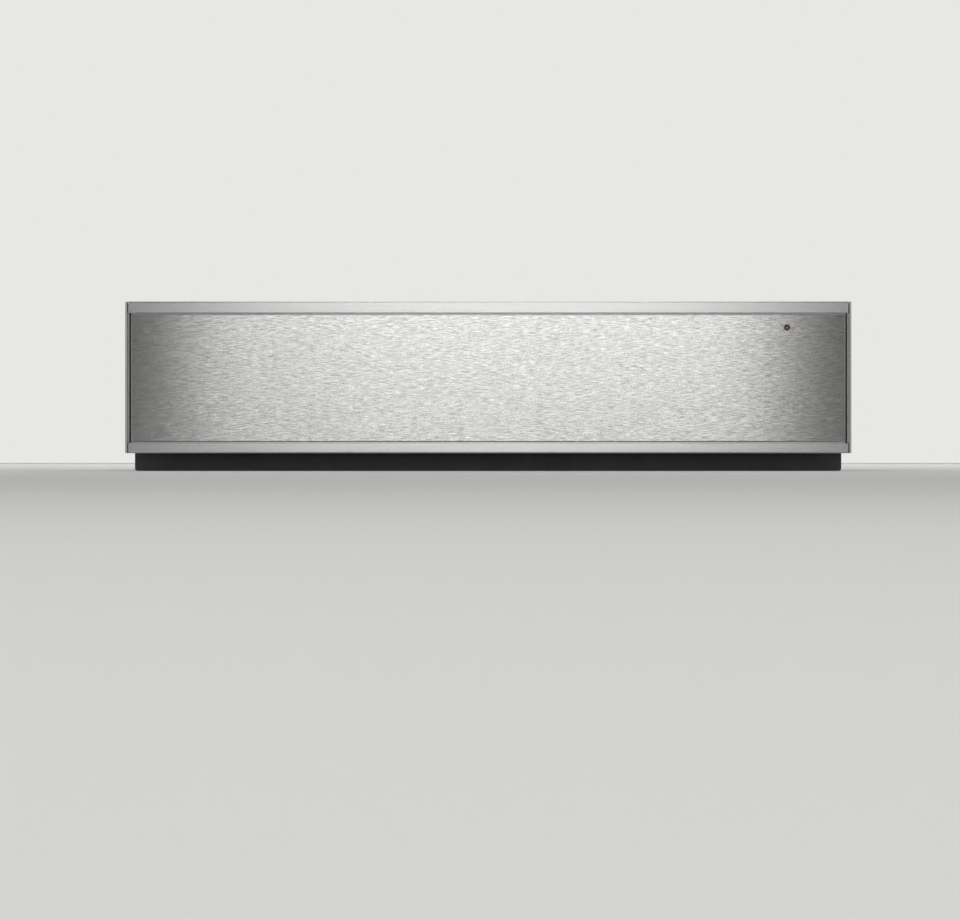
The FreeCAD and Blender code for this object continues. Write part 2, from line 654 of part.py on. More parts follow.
def ball_cage(web_u, tip_u, ball_u, ball_v):
    """Folded cage strip with its balls in their holes."""
    v = ball_v + CAGE_SHEET / 2
    points = [(slide_x(tip_u), SLIDE_Z - v), (slide_x(web_u), SLIDE_Z - v)]
    points += [(slide_x(web_u), SLIDE_Z + v), (slide_x(tip_u), SLIDE_Z + v)]
    section = folded_sheet(points, CAGE_SHEET, CAGE_SHEET, 1)
    strip = along_y(section, SLIDE_MIDDLE_Y - CAGE_LENGTH / 2, SLIDE_MIDDLE_Y + CAGE_LENGTH / 2)
    balls = []
    for y in spread(BALLS_PER_ROW, BALL_PITCH):
        for height in (-ball_v, ball_v):
            centre = Vector(slide_x(ball_u), SLIDE_MIDDLE_Y + y, SLIDE_Z + height)
            half = CAGE_POCKET / 2
            strip = strip.cut(box(centre.x - half, centre.x + half, centre.y - half, centre.y + half,
                                  centre.z - CAGE_SHEET, centre.z + CAGE_SHEET))
            balls.append(faceted_ball(BALL_R, centre))
    return Part.makeCompound([strip] + balls)


# ---- Drawer body ----

def well_plan(grow, z0, z1):
    """Prism on the plan of the well's inside, grown outward."""
    plan = rounded_rectangle(-WELL_HALF - grow, WELL_HALF + grow, WELL_FRONT_Y - grow, WELL_REAR_Y + grow,
                             WELL_CORNER + grow)
    return along_z(plan, z0, z1)


def ledge_plan(grow, z0, z1):
    """Prism on the plan of the opening that the ledge leaves, grown outward."""
    reach = grow - LEDGE_WIDTH
    plan = rounded_rectangle(-WELL_HALF - reach, WELL_HALF + reach, WELL_FRONT_Y - reach, WELL_REAR_Y + reach,
                             LEDGE_CORNER)
    return along_z(plan, z0, z1)


def drawer_well():
    """Pressed stainless well: walls, a ledge for the glass, and a rim that covers the shell."""
    body = well_plan(WELL_SHEET, LEDGE_Z, RIM_TOP)
    rim_plan = rounded_rectangle(-SHELL_HALF, SHELL_HALF, SHELL_FRONT_Y, SHELL_REAR_Y, RIM_CORNER)
    well = body.fuse(along_z(rim_plan, RIM_Z, RIM_TOP))
    well = well.cut(well_plan(0, LEDGE_TOP, RIM_TOP + 1))
    well = well.cut(ledge_plan(0, LEDGE_Z - 1, LEDGE_TOP + 1)).removeSplitter()
    centre_y = (WELL_FRONT_Y + WELL_REAR_Y) / 2
    reach_x, reach_y = WELL_HALF + 2 * WELL_SHEET, WELL_REAR_Y - centre_y + 2 * WELL_SHEET

    def at_mouth(middle, height):
        near = abs(middle.x) < reach_x and abs(middle.y - centre_y) < reach_y
        return near and abs(middle.z - height) < 1e-6

    well = well.makeChamfer(RIM_BEND, edges_near(well, lambda middle: at_mouth(middle, RIM_Z)))
    upper = edges_near(well, lambda middle: at_mouth(middle, RIM_TOP))
    well = well.makeChamfer(RIM_BEND + WELL_SHEET / 2, upper)
    well = well.cut(air_opening(WELL_REAR_Y - 1, WELL_BACK_Y + 1))
    return well.cut(rod(DISH_R, Vector(KNOB_X, KNOB_Y, RIM_Z - 1), Z_AXIS, WELL_SHEET + 2))


def air_opening(y0, y1):
    """Opening in the well's rear wall for the circulated air."""
    half_x, half_z = AIR_OPENING_WIDTH / 2, AIR_OPENING_HEIGHT / 2
    outline_corners = rounded_rectangle(-half_x, half_x, FAN_Z - half_z, FAN_Z + half_z, AIR_OPENING_CORNER)
    return along_y(outline_corners, y0, y1)


def front_screw_places():
    """Where the front is screwed to the shell, as (x, z)."""
    heights = (SHELL_BOTTOM + FRONT_SCREW_LOW, RIM_TOP - FRONT_SCREW_HIGH)
    return [(x, z) for x in (-FRONT_SCREW_X, FRONT_SCREW_X) for z in heights]


def drawer_shell():
    """Outer box of the drawer: folded floor and sides, front and rear walls."""
    points = [(-SHELL_HALF + SHELL_RETURN, RIM_Z), (-SHELL_HALF, RIM_Z), (-SHELL_HALF, SHELL_BOTTOM)]
    points += [(SHELL_HALF, SHELL_BOTTOM), (SHELL_HALF, RIM_Z), (SHELL_HALF - SHELL_RETURN, RIM_Z)]
    shell = along_y(folded_sheet(points, SHEET, SHEET_BEND, 1), SHELL_FRONT_Y, SHELL_REAR_Y)
    inner = SHELL_HALF - SHEET / 2
    for y in (SHELL_FRONT_Y, SHELL_REAR_Y - SHEET):
        end = rounded_rectangle(-inner, inner, SHELL_BOTTOM + SHEET / 2, RIM_Z - SHEET / 2, SHEET_BEND)
        shell = shell.fuse(along_y(end, y, y + SHEET))
    shell = shell.cut(rod(DISH_R + CLEAR, Vector(KNOB_X, KNOB_Y, RIM_Z - 2 * SHEET), Z_AXIS, 3 * SHEET))
    for x, z in front_screw_places():
        shell = shell.cut(screw_hole(x, SHELL_FRONT_Y, z, Y_AXIS))
    return shell.removeSplitter()


def well_insulation():
    """Mineral wool round the front and sides of the well, open at the back and cut away for the switch."""
    half = WELL_HALF + WELL_SHEET + CLEAR + WOOL_THICKNESS
    y0 = SHELL_FRONT_Y + SHEET + SCREW_HEAD_HEIGHT + CLEAR
    z0, z1 = LEDGE_TOP, RIM_Z - WOOL_TOP_GAP - RIM_BEND
    block = box(-half, half, y0, WELL_REAR_Y - WELL_CORNER, z0, z1)
    wool = block.cut(well_plan(WELL_SHEET + CLEAR, z0 - 1, z1 + 1))
    pocket_half = SWITCH_SIDE / 2 + DISH_LIP + CLEAR
    pocket_z = DISH_FLOOR_Z - SWITCH_BUSH_HEIGHT - SWITCH_HEIGHT - CLEAR
    pocket = box(WELL_HALF, SHELL_HALF, KNOB_Y - pocket_half, KNOB_Y + pocket_half, pocket_z, z1 + 1)
    return wool.cut(pocket)


def base_insulation():
    """Mineral wool mat between the heater carrier and the shell's floor."""
    half = SHELL_HALF - SHEET - SHEET_BEND - CLEAR
    y0 = SHELL_FRONT_Y + SHEET + SHEET_BEND + CLEAR
    y1 = SHELL_REAR_Y - SHEET - SHEET_BEND - CLEAR
    return box(-half, half, y0, y1, SHELL_BOTTOM + SHEET + CLEAR, CARRIER_Z - CLEAR)


def base_glass():
    """Toughened glass plate over the heating element, with a ground edge."""
    glass = well_plan(-GLASS_EDGE_GAP, GLASS_Z, GLASS_TOP)
    return glass.makeChamfer(GLASS_CHAMFER, edges_near(glass, lambda middle: middle.z > GLASS_TOP - 1e-6))


def glass_seal():
    """Silicone seal: a flat gasket under the glass and a bead round its edge."""
    gasket = well_plan(0, LEDGE_TOP, GLASS_Z).cut(ledge_plan(GASKET_SET_BACK, LEDGE_TOP - 1, GLASS_Z + 1))
    bead_ring = well_plan(0, LEDGE_TOP, GLASS_Z + GASKET_BEAD)
    bead_ring = bead_ring.cut(well_plan(-GLASS_EDGE_GAP, LEDGE_TOP - 1, GLASS_TOP + 1))
    return gasket.fuse(bead_ring).removeSplitter()


def heater_carrier():
    """Shallow aluminised pan under the ledge that holds the element."""
    pan = ledge_plan(0, CARRIER_Z, LEDGE_Z).fuse(ledge_plan(CARRIER_LAP, LEDGE_Z - WELL_SHEET, LEDGE_Z))
    return pan.cut(ledge_plan(-WELL_SHEET, CARRIER_Z + WELL_SHEET, LEDGE_Z + 1)).removeSplitter()


def heating_element():
    """Flat resistance strip laid in even turns from side to side."""
    half = WELL_HALF - LEDGE_WIDTH - ELEMENT_MARGIN
    y0 = WELL_FRONT_Y + LEDGE_WIDTH + ELEMENT_MARGIN
    y1 = WELL_REAR_Y - LEDGE_WIDTH - ELEMENT_MARGIN
    runs = int((y1 - y0) / ELEMENT_PITCH) + 1
    edge = ELEMENT_STRIP / 2
    points = []
    for index in range(runs):
        way = 1 if index % 2 == 0 else -1
        y = y0 + index * ELEMENT_PITCH - way * edge
        points += [(edge - way * half, y), (edge + way * half, y)]
    bend = (ELEMENT_PITCH - ELEMENT_STRIP) / 2
    z0 = CARRIER_Z + WELL_SHEET
    return along_z(folded_sheet(points, ELEMENT_STRIP, bend, 1), z0, z0 + ELEMENT_THICKNESS)


# ---- Front ----

def strip_section(face_height, top, ledge_drop):
    """Corners of a strip's section in (y, z) for the top strip: roof, face, and a ledge behind the panel."""
    face_low = top - face_height
    points = [(SHEET_BACK_Y, top), (FRONT_Y, top), (FRONT_Y, face_low), (LEDGE_FACE_Y, face_low),
              (LEDGE_FACE_Y, face_low - ledge_drop)]
    return folded_sheet(points, STRIP_WALL, STRIP_BEND, 1)


def front_top_strip():
    """Aluminium extrusion along the front's top edge."""
    return along_x(strip_section(TOP_STRIP_HEIGHT, FRONT_TOP, STRIP_LEDGE_DROP), -STRIP_HALF, STRIP_HALF)


def front_bottom_strip():
    """Aluminium extrusion along the front's bottom edge: the top strip's section turned over."""
    section = strip_section(BOTTOM_STRIP_HEIGHT, -FRONT_BOTTOM, STRIP_LEDGE_DROP)
    turned = [(y, -z, radius) for y, z, radius in section]
    return along_x(turned, -STRIP_HALF, STRIP_HALF)


def front_side():
    """Aluminium extrusion down the front's right edge, its lip milled back beside the strips."""
    back = FRONT_BACK_Y
    corners = [(FRONT_HALF - PROFILE_LIP, FRONT_Y, PROFILE_LIP_R), (FRONT_HALF, FRONT_Y, PROFILE_EDGE_R),
               (FRONT_HALF, back, PROFILE_BACK_R), (FRONT_HALF - PROFILE_RETURN, back, 0),
               (FRONT_HALF - PROFILE_RETURN, back - PROFILE_WALL, 0),
               (FRONT_HALF - PROFILE_WALL, back - PROFILE_WALL, 0),
               (FRONT_HALF - PROFILE_WALL, FRONT_Y + PROFILE_WALL, 0),
               (FRONT_HALF - PROFILE_LIP, FRONT_Y + PROFILE_WALL, 0)]
    profile = along_z(corners, FRONT_BOTTOM, FRONT_TOP)
    milled_x = FRONT_HALF - PROFILE_LIP_AT_STRIP
    for low, high in ((FRONT_BOTTOM - 1, PANEL_Z - STRIP_JOINT), (PANEL_TOP + STRIP_JOINT, FRONT_TOP + 1)):
        profile = profile.cut(box(milled_x - PROFILE_LIP, milled_x, FRONT_Y - 1, FRONT_Y + 2 * PROFILE_WALL,
                                  low, high))
    return profile


def front_panel():
    """Stainless panel: a shallow pan with rounded folded edges and a hole for the lamp."""
    face = rounded_rectangle(-PANEL_HALF, PANEL_HALF, PANEL_Z, PANEL_TOP, PANEL_CORNER)
    panel = along_y(face, PANEL_Y, PANEL_Y + PANEL_RETURN)
    panel = panel.makeFillet(PANEL_EDGE_R, edges_near(panel, lambda middle: middle.y < PANEL_Y + 1e-6))
    hollow = box(-PANEL_HALF + PANEL_SHEET, PANEL_HALF - PANEL_SHEET, PANEL_Y + PANEL_SHEET,
                 PANEL_Y + PANEL_RETURN + 1, PANEL_Z + PANEL_SHEET, PANEL_TOP - PANEL_SHEET)
    panel = panel.cut(hollow)
    return panel.cut(rod(BEZEL_BARREL_R, Vector(LAMP_X, PANEL_Y - 1, LAMP_Z), Y_AXIS, PANEL_SHEET + 2))


def front_carrier():
    """Inner sheet of the front, its long edges folded forward under the strips."""
    top, low = FRONT_TOP - STRIP_WALL, FRONT_BOTTOM + STRIP_WALL
    points = [(SHELL_FRONT_Y - CARRIER_FOLD, top), (SHELL_FRONT_Y, top)]
    points += [(SHELL_FRONT_Y, low), (SHELL_FRONT_Y - CARRIER_FOLD, low)]
    carrier = along_x(folded_sheet(points, CARRIER_SHEET, SHEET_BEND, -1), -STRIP_HALF, STRIP_HALF)
    for x, z in front_screw_places():
        carrier = carrier.cut(screw_hole(x, SHELL_FRONT_Y, z, Y_AXIS))
    return carrier


def front_insulation():
    """Mineral wool that fills the front, with a way through for the lamp."""
    front_y = LEDGE_FACE_Y + STRIP_WALL + CLEAR
    low = FRONT_BOTTOM + STRIP_WALL + CARRIER_SHEET + SHEET_BEND + CLEAR
    high = FRONT_TOP - STRIP_WALL - CARRIER_SHEET - SHEET_BEND - CLEAR
    half = PANEL_HALF - PANEL_SHEET
    wool = box(-half, half, front_y, SHEET_BACK_Y - CLEAR, low, high)
    return wool.cut(rod(LAMP_BODY_R + CLEAR, Vector(LAMP_X, front_y - 1, LAMP_Z), Y_AXIS, FRONT_DEPTH))


def front_screws():
    """Screws from inside the shell into the front's inner sheet."""
    seat_y = SHELL_FRONT_Y + SHEET
    return Part.makeCompound([screw(Vector(x, seat_y, z), -Y_AXIS, SHEET + CARRIER_SHEET)
                              for x, z in front_screw_places()])


def indicator_bezel():
    """Dark ring round the lamp, with a barrel through the panel."""
    lip = rod(BEZEL_R, Vector(LAMP_X, PANEL_Y - BEZEL_LIP, LAMP_Z), Y_AXIS, BEZEL_LIP)
    barrel = rod(BEZEL_BARREL_R, Vector(LAMP_X, PANEL_Y, LAMP_Z), Y_AXIS, BEZEL_LENGTH)
    bore = rod(LENS_R, Vector(LAMP_X, PANEL_Y - 1, LAMP_Z), Y_AXIS, BEZEL_LENGTH + 2)
    return lip.fuse(barrel).cut(bore).removeSplitter()


def indicator_lens():
    """Light pipe with a domed nose."""
    pipe = rod(LENS_R, Vector(LAMP_X, PANEL_Y, LAMP_Z), Y_AXIS, LENS_LENGTH)
    nose = edges_near(pipe, lambda middle: abs(middle.y - PANEL_Y) < 1e-6)
    return pipe.makeChamfer(LENS_R / 4, nose)


def indicator_lamp():
    """Lamp body behind the bezel."""
    start = PANEL_Y + BEZEL_LENGTH
    return rod(LAMP_BODY_R, Vector(LAMP_X, start, LAMP_Z), Y_AXIS, LAMP_BODY_LENGTH)


# ---- Controls ----

def control_dish():
    """Moulded dish in the rim that the selector knob sits in."""
    centre = Vector(KNOB_X, KNOB_Y, 0)
    lip = rod(DISH_R + DISH_LIP, centre + Z_AXIS * RIM_TOP, Z_AXIS, DISH_LIP_HEIGHT)
    cup = rod(DISH_R, centre + Z_AXIS * DISH_FLOOR_Z, Z_AXIS, DISH_DEPTH)
    dish = lip.fuse(cup)
    inner_floor = centre + Z_AXIS * (DISH_FLOOR_Z + DISH_WALL)
    dish = dish.cut(rod(DISH_R - DISH_WALL, inner_floor, Z_AXIS, DISH_DEPTH + 2))
    dish = dish.cut(rod(SWITCH_BUSH_R, centre + Z_AXIS * (DISH_FLOOR_Z - 1), Z_AXIS, DISH_WALL + 2))
    return dish.removeSplitter()


def rotary_switch():
    """Switch body with its bush up through the dish's floor and a bore for the spindle."""
    top = DISH_FLOOR_Z - SWITCH_BUSH_HEIGHT + DISH_WALL
    half = SWITCH_SIDE / 2
    body = box(KNOB_X - half, KNOB_X + half, KNOB_Y - half, KNOB_Y + half, top - SWITCH_HEIGHT, top)
    bush = rod(SWITCH_BUSH_R, Vector(KNOB_X, KNOB_Y, top), Z_AXIS, SWITCH_BUSH_HEIGHT)
    bore = rod(SPINDLE_R + SPINDLE_FIT, spindle_foot() - Z_AXIS * CLEAR, Z_AXIS, SPINDLE_LENGTH)
    return body.fuse(bush).cut(bore).removeSplitter()


def knob_bottom():
    """Underside of the knob, just clear of the dish's floor."""
    return DISH_FLOOR_Z + DISH_WALL + CLEAR


def knob_top():
    """Upper face of the knob."""
    return knob_bottom() + KNOB_HEIGHT


def spindle_foot():
    """Middle of the spindle's lower end."""
    return Vector(KNOB_X, KNOB_Y, knob_top() - KNOB_CAP - SPINDLE_LENGTH)


def selector_knob():
    """Fluted knob with a blind bore for its spindle."""
    centre = Vector(KNOB_X, KNOB_Y, knob_bottom())
    knob = rod(KNOB_R, centre, Z_AXIS, KNOB_HEIGHT)
    knob = knob.makeChamfer(KNOB_CHAMFER, edges_near(knob, lambda middle: middle.z > knob_top() - 1e-6))
    for index in range(KNOB_FLUTES):
        angle = 2 * math.pi * index / KNOB_FLUTES
        place = centre + Vector(math.cos(angle), math.sin(angle), 0) * (KNOB_R + KNOB_FLUTE_R / 2)
        knob = knob.cut(rod(KNOB_FLUTE_R, place, Z_AXIS, KNOB_HEIGHT))
    return knob.cut(rod(SPINDLE_R, centre, Z_AXIS, KNOB_HEIGHT - KNOB_CAP))


def selector_spindle():
    """Spindle from inside the knob down into the switch."""
    return rod(SPINDLE_R, spindle_foot(), Z_AXIS, SPINDLE_LENGTH)


# ---- Air ----

def air_duct():
    """Pan over the fan, lapped onto the back of the well, open to the well."""
    half_x, half_z = DUCT_WIDTH / 2, DUCT_HEIGHT / 2
    outer = along_y(rounded_rectangle(-half_x, half_x, FAN_Z - half_z, FAN_Z + half_z, DUCT_CORNER),
                    WELL_BACK_Y, DUCT_BACK_Y)
    lap = box(-half_x - DUCT_LAP, half_x + DUCT_LAP, WELL_BACK_Y, WELL_BACK_Y + DUCT_SHEET,
              FAN_Z - half_z + DUCT_CORNER, FAN_Z + half_z - DUCT_CORNER)
    in_x, in_z = half_x - DUCT_SHEET, half_z - DUCT_SHEET
    inner = along_y(rounded_rectangle(-in_x, in_x, FAN_Z - in_z, FAN_Z + in_z, DUCT_CORNER - DUCT_SHEET),
                    WELL_BACK_Y - 1, DUCT_BACK_Y - DUCT_SHEET)
    duct = outer.fuse(lap).cut(inner)
    duct = duct.cut(rod(2 * FAN_SHAFT_R, Vector(0, DUCT_BACK_Y - 2, FAN_Z), Y_AXIS, 4))
    for x in (-RING_HEATER_LEG_X, RING_HEATER_LEG_X):
        leg = Vector(x, DUCT_BACK_Y - 2, ring_heater_leg_z())
        duct = duct.cut(rod(RING_HEATER_TUBE_R, leg, Y_AXIS, 4))
    return duct.removeSplitter()


def air_grille():
    """Slotted stainless plate over the air opening, inside the well."""
    half_x, half_z = AIR_OPENING_WIDTH / 2 + GRILLE_LAP, AIR_OPENING_HEIGHT / 2 + GRILLE_LAP
    y0, y1 = WELL_REAR_Y - GRILLE_SHEET, WELL_REAR_Y
    plate = along_y(rounded_rectangle(-half_x, half_x, FAN_Z - half_z, FAN_Z + half_z, AIR_OPENING_CORNER),
                    y0, y1)
    column_pitch = (AIR_OPENING_WIDTH - GRILLE_SLOT_LENGTH - 2 * GRILLE_SIDE_MARGIN) / (GRILLE_COLUMNS - 1)
    row_pitch = (AIR_OPENING_HEIGHT - GRILLE_SLOT_HEIGHT - 2 * GRILLE_MARGIN) / (GRILLE_ROWS - 1)
    half_length, half_height = GRILLE_SLOT_LENGTH / 2, GRILLE_SLOT_HEIGHT / 2
    slots = []
    for x in spread(GRILLE_COLUMNS, column_pitch):
        for z in spread(GRILLE_ROWS, row_pitch):
            slots.append(box(x - half_length, x + half_length, y0 - 1, y1 + 1, FAN_Z + z - half_height,
                             FAN_Z + z + half_height))
    return plate.cut(Part.makeCompound(slots))


def fan_back_y():
    """Rear face of the fan wheel's disc."""
    return DUCT_BACK_Y - DUCT_SHEET - FAN_GAP


def fan_wheel():
    """Radial wheel: back disc, hub, curved blades and a ring that joins their tips."""
    back = fan_back_y()
    disc_y = back - FAN_DISC
    front_y = disc_y - FAN_BLADE_LENGTH
    centre = Vector(0, 0, FAN_Z)
    wheel = rod(FAN_R, centre + Y_AXIS * disc_y, Y_AXIS, FAN_DISC)
    wheel = wheel.fuse(rod(FAN_HUB_R, centre + Y_AXIS * front_y, Y_AXIS, FAN_BLADE_LENGTH))
    ring = rod(FAN_R, centre + Y_AXIS * front_y, Y_AXIS, FAN_DISC)
    wheel = wheel.fuse(ring.cut(rod(FAN_EYE_R, centre + Y_AXIS * (front_y - 1), Y_AXIS, FAN_DISC + 2)))
    inner, outer = FAN_EYE_R + FAN_DISC, FAN_R - FAN_DISC
    chord = outer - inner
    rise = math.sqrt(3) / 2 * chord
    arc_centre = Vector((inner + outer) / 2, front_y, FAN_Z + rise)
    blade = rod(chord + FAN_BLADE_SHEET, arc_centre, Y_AXIS, FAN_BLADE_LENGTH)
    blade = blade.cut(rod(chord, arc_centre, Y_AXIS, FAN_BLADE_LENGTH))
    blade = blade.common(box(inner, outer, front_y, disc_y, FAN_Z - chord, FAN_Z + chord / 2))
    for index in range(FAN_BLADES):
        turned = blade.copy()
        turned.rotate(centre, Y_AXIS, index * 360 / FAN_BLADES)
        wheel = wheel.fuse(turned)
    bore = rod(FAN_SHAFT_R, centre + Y_AXIS * (front_y - 1), Y_AXIS, FAN_BLADE_LENGTH + FAN_DISC + 2)
    return wheel.cut(bore).removeSplitter()


def fan_shaft():
    """Shaft from the wheel's hub into the motor."""
    start = fan_back_y() - FAN_DISC - FAN_BLADE_LENGTH
    end = DUCT_BACK_Y + MOTOR_LENGTH - FAN_SHAFT_END_GAP
    return rod(FAN_SHAFT_R, Vector(0, start, FAN_Z), Y_AXIS, end - start)


def fan_motor():
    """Flat motor on the duct's back with a bore for the shaft."""
    base = Vector(0, DUCT_BACK_Y, FAN_Z)
    motor = rod(MOTOR_FLANGE_R, base, Y_AXIS, MOTOR_FLANGE_SHEET)
    for x in (-RING_HEATER_LEG_X, RING_HEATER_LEG_X):
        leg = Vector(x, DUCT_BACK_Y - 1, ring_heater_leg_z())
        motor = motor.cut(rod(RING_HEATER_TUBE_R + 1, leg, Y_AXIS, MOTOR_LENGTH))
    body = rod(MOTOR_R, base, Y_AXIS, MOTOR_LENGTH)
    back_y = DUCT_BACK_Y + MOTOR_LENGTH
    body = body.makeChamfer(MOTOR_CHAMFER, edges_near(body, lambda middle: middle.y > back_y - 1e-6))
    depth = MOTOR_LENGTH - FAN_SHAFT_END_GAP + CLEAR
    bore = rod(FAN_SHAFT_R + SPINDLE_FIT, base - Y_AXIS, Y_AXIS, 1 + depth)
    return motor.fuse(body).cut(bore).removeSplitter()


def ring_heater_leg_z():
    """Height of the ring heater's two legs."""
    return FAN_Z - math.sqrt(RING_HEATER_R ** 2 - RING_HEATER_LEG_X ** 2)


def ring_heater():
    """Flat-sided heater ring round the fan wheel, its two legs out through the duct's back."""
    y = fan_back_y() - FAN_DISC - FAN_BLADE_LENGTH / 2
    tube = RING_HEATER_TUBE_R
    centre = Vector(0, y - tube, FAN_Z)
    ring = rod(RING_HEATER_R + tube, centre, Y_AXIS, 2 * tube)
    ring = ring.cut(rod(RING_HEATER_R - tube, centre - Y_AXIS, Y_AXIS, 2 * tube + 2))
    gap = RING_HEATER_LEG_X - tube
    ring = ring.cut(box(-gap, gap, y - 2 * tube, y + 2 * tube, FAN_Z - RING_HEATER_R - 2 * tube, FAN_Z))
    for x in (-RING_HEATER_LEG_X, RING_HEATER_LEG_X):
        leg = rod(tube, Vector(x, y - tube, ring_heater_leg_z()), Y_AXIS,
                  DUCT_BACK_Y + RING_HEATER_LEG_OUT - y + tube)
        ring = ring.fuse(leg)
    return ring.removeSplitter()


def safety_thermostat():
    """Capsule thermostat on the duct's back."""
    return rod(THERMOSTAT_R, Vector(THERMOSTAT_X, DUCT_BACK_Y, FAN_Z), Y_AXIS, THERMOSTAT_LENGTH)


# ---- Push-to-open latches and mains inlet ----

def push_latch():
    """Moulded latch on the rear wall with a bore that takes the striker; its spring is sealed inside."""
    half_x, half_z = LATCH_WIDTH / 2, LATCH_HEIGHT / 2
    front = INNER_REAR_Y - LATCH_LENGTH
    body = along_y(rounded_rectangle(LATCH_X - half_x, LATCH_X + half_x, LATCH_Z - half_z, LATCH_Z + half_z,
                                     LATCH_EDGE_R), front, INNER_REAR_Y)
    ear_x = half_x + LATCH_EAR
    ears = along_y(rounded_rectangle(LATCH_X - ear_x, LATCH_X + ear_x, LATCH_Z - half_z / 2,
                                     LATCH_Z + half_z / 2, LATCH_EDGE_R),
                   INNER_REAR_Y - LATCH_EAR_SHEET, INNER_REAR_Y)
    bore = rod(LATCH_BORE_R, Vector(LATCH_X, front - 1, LATCH_Z), Y_AXIS, LATCH_BORE_DEPTH + 1)
    return body.fuse(ears).cut(bore).removeSplitter()


def latch_striker():
    """Plate on the drawer's back with a mushroom pin for the latch."""
    half_x, half_z = STRIKER_WIDTH / 2, STRIKER_HEIGHT / 2
    plate = along_y(rounded_rectangle(LATCH_X - half_x, LATCH_X + half_x, LATCH_Z - half_z, LATCH_Z + half_z,
                                      STRIKER_CORNER), SHELL_REAR_Y, SHELL_REAR_Y + STRIKER_PLATE)
    pin = rod(STRIKER_PIN_R, Vector(LATCH_X, SHELL_REAR_Y, LATCH_Z), Y_AXIS, STRIKER_LENGTH)
    head_y = SHELL_REAR_Y + STRIKER_LENGTH - STRIKER_HEAD_LENGTH
    head_base = Vector(LATCH_X, head_y, LATCH_Z)
    head = Part.makeCone(STRIKER_HEAD_R, STRIKER_PIN_R, STRIKER_HEAD_LENGTH, head_base, Y_AXIS)
    return plate.fuse(pin).fuse(head).removeSplitter()


def cable_gland():
    """Mains inlet: a square body in the rear wall's cut-out, a flange behind it and a round nose."""
    half, wide = GLAND_BODY / 2, GLAND_FLANGE / 2
    body = box(GLAND_X - half, GLAND_X + half, CASING_REAR_Y - GLAND_INNER, CASING_REAR_Y, GLAND_Z - half,
               GLAND_Z + half)
    flange = along_y(rounded_rectangle(GLAND_X - wide, GLAND_X + wide, GLAND_Z - wide, GLAND_Z + wide,
                                       GLAND_CORNER), CASING_REAR_Y, CASING_REAR_Y + GLAND_FLANGE_SHEET)
    seat = Vector(GLAND_X, CASING_REAR_Y, GLAND_Z)
    nose = Part.makeCone(GLAND_NOSE_R + 1, GLAND_NOSE_R, GLAND_PROJECTION, seat, Y_AXIS)
    bore = rod(GLAND_BORE_R, Vector(GLAND_X, CASING_REAR_Y - GLAND_INNER - 1, GLAND_Z), Y_AXIS,
               GLAND_INNER + GLAND_PROJECTION + 2)
    return body.fuse(flange).fuse(nose).cut(bore).removeSplitter()


def terminal_block():
    """Terminal block on the rear wall, one bore for each wire."""
    half = TERMINAL_WIDTH / 2
    y0 = INNER_REAR_Y - TERMINAL_DEPTH
    block = box(TERMINAL_X - half, TERMINAL_X + half, y0, INNER_REAR_Y, GLAND_Z - TERMINAL_HEIGHT / 2,
                GLAND_Z + TERMINAL_HEIGHT / 2)
    for x in spread(TERMINAL_POLES, TERMINAL_WIDTH / TERMINAL_POLES):
        wire = Vector(TERMINAL_X + x, y0 - 1, GLAND_Z)
        block = block.cut(rod(TERMINAL_BORE_R, wire, Y_AXIS, TERMINAL_DEPTH / 2))
    return block


def terminal_cover():
    """Moulded box over the terminal block and the gland's inner end."""
    half_x, half_z = INLET_COVER_WIDTH / 2, INLET_COVER_HEIGHT / 2
    y0 = INNER_REAR_Y - INLET_COVER_DEPTH
    outer = along_y(rounded_rectangle(INLET_COVER_X - half_x, INLET_COVER_X + half_x, GLAND_Z - half_z,
                                      GLAND_Z + half_z, INLET_COVER_CORNER), y0, INNER_REAR_Y)
    in_x, in_z = half_x - INLET_COVER_WALL, half_z - INLET_COVER_WALL
    inner = along_y(rounded_rectangle(INLET_COVER_X - in_x, INLET_COVER_X + in_x, GLAND_Z - in_z,
                                      GLAND_Z + in_z, INLET_COVER_CORNER - INLET_COVER_WALL),
                    y0 + INLET_COVER_WALL, INNER_REAR_Y + 1)
    return outer.cut(inner)


# ---- All pieces ----

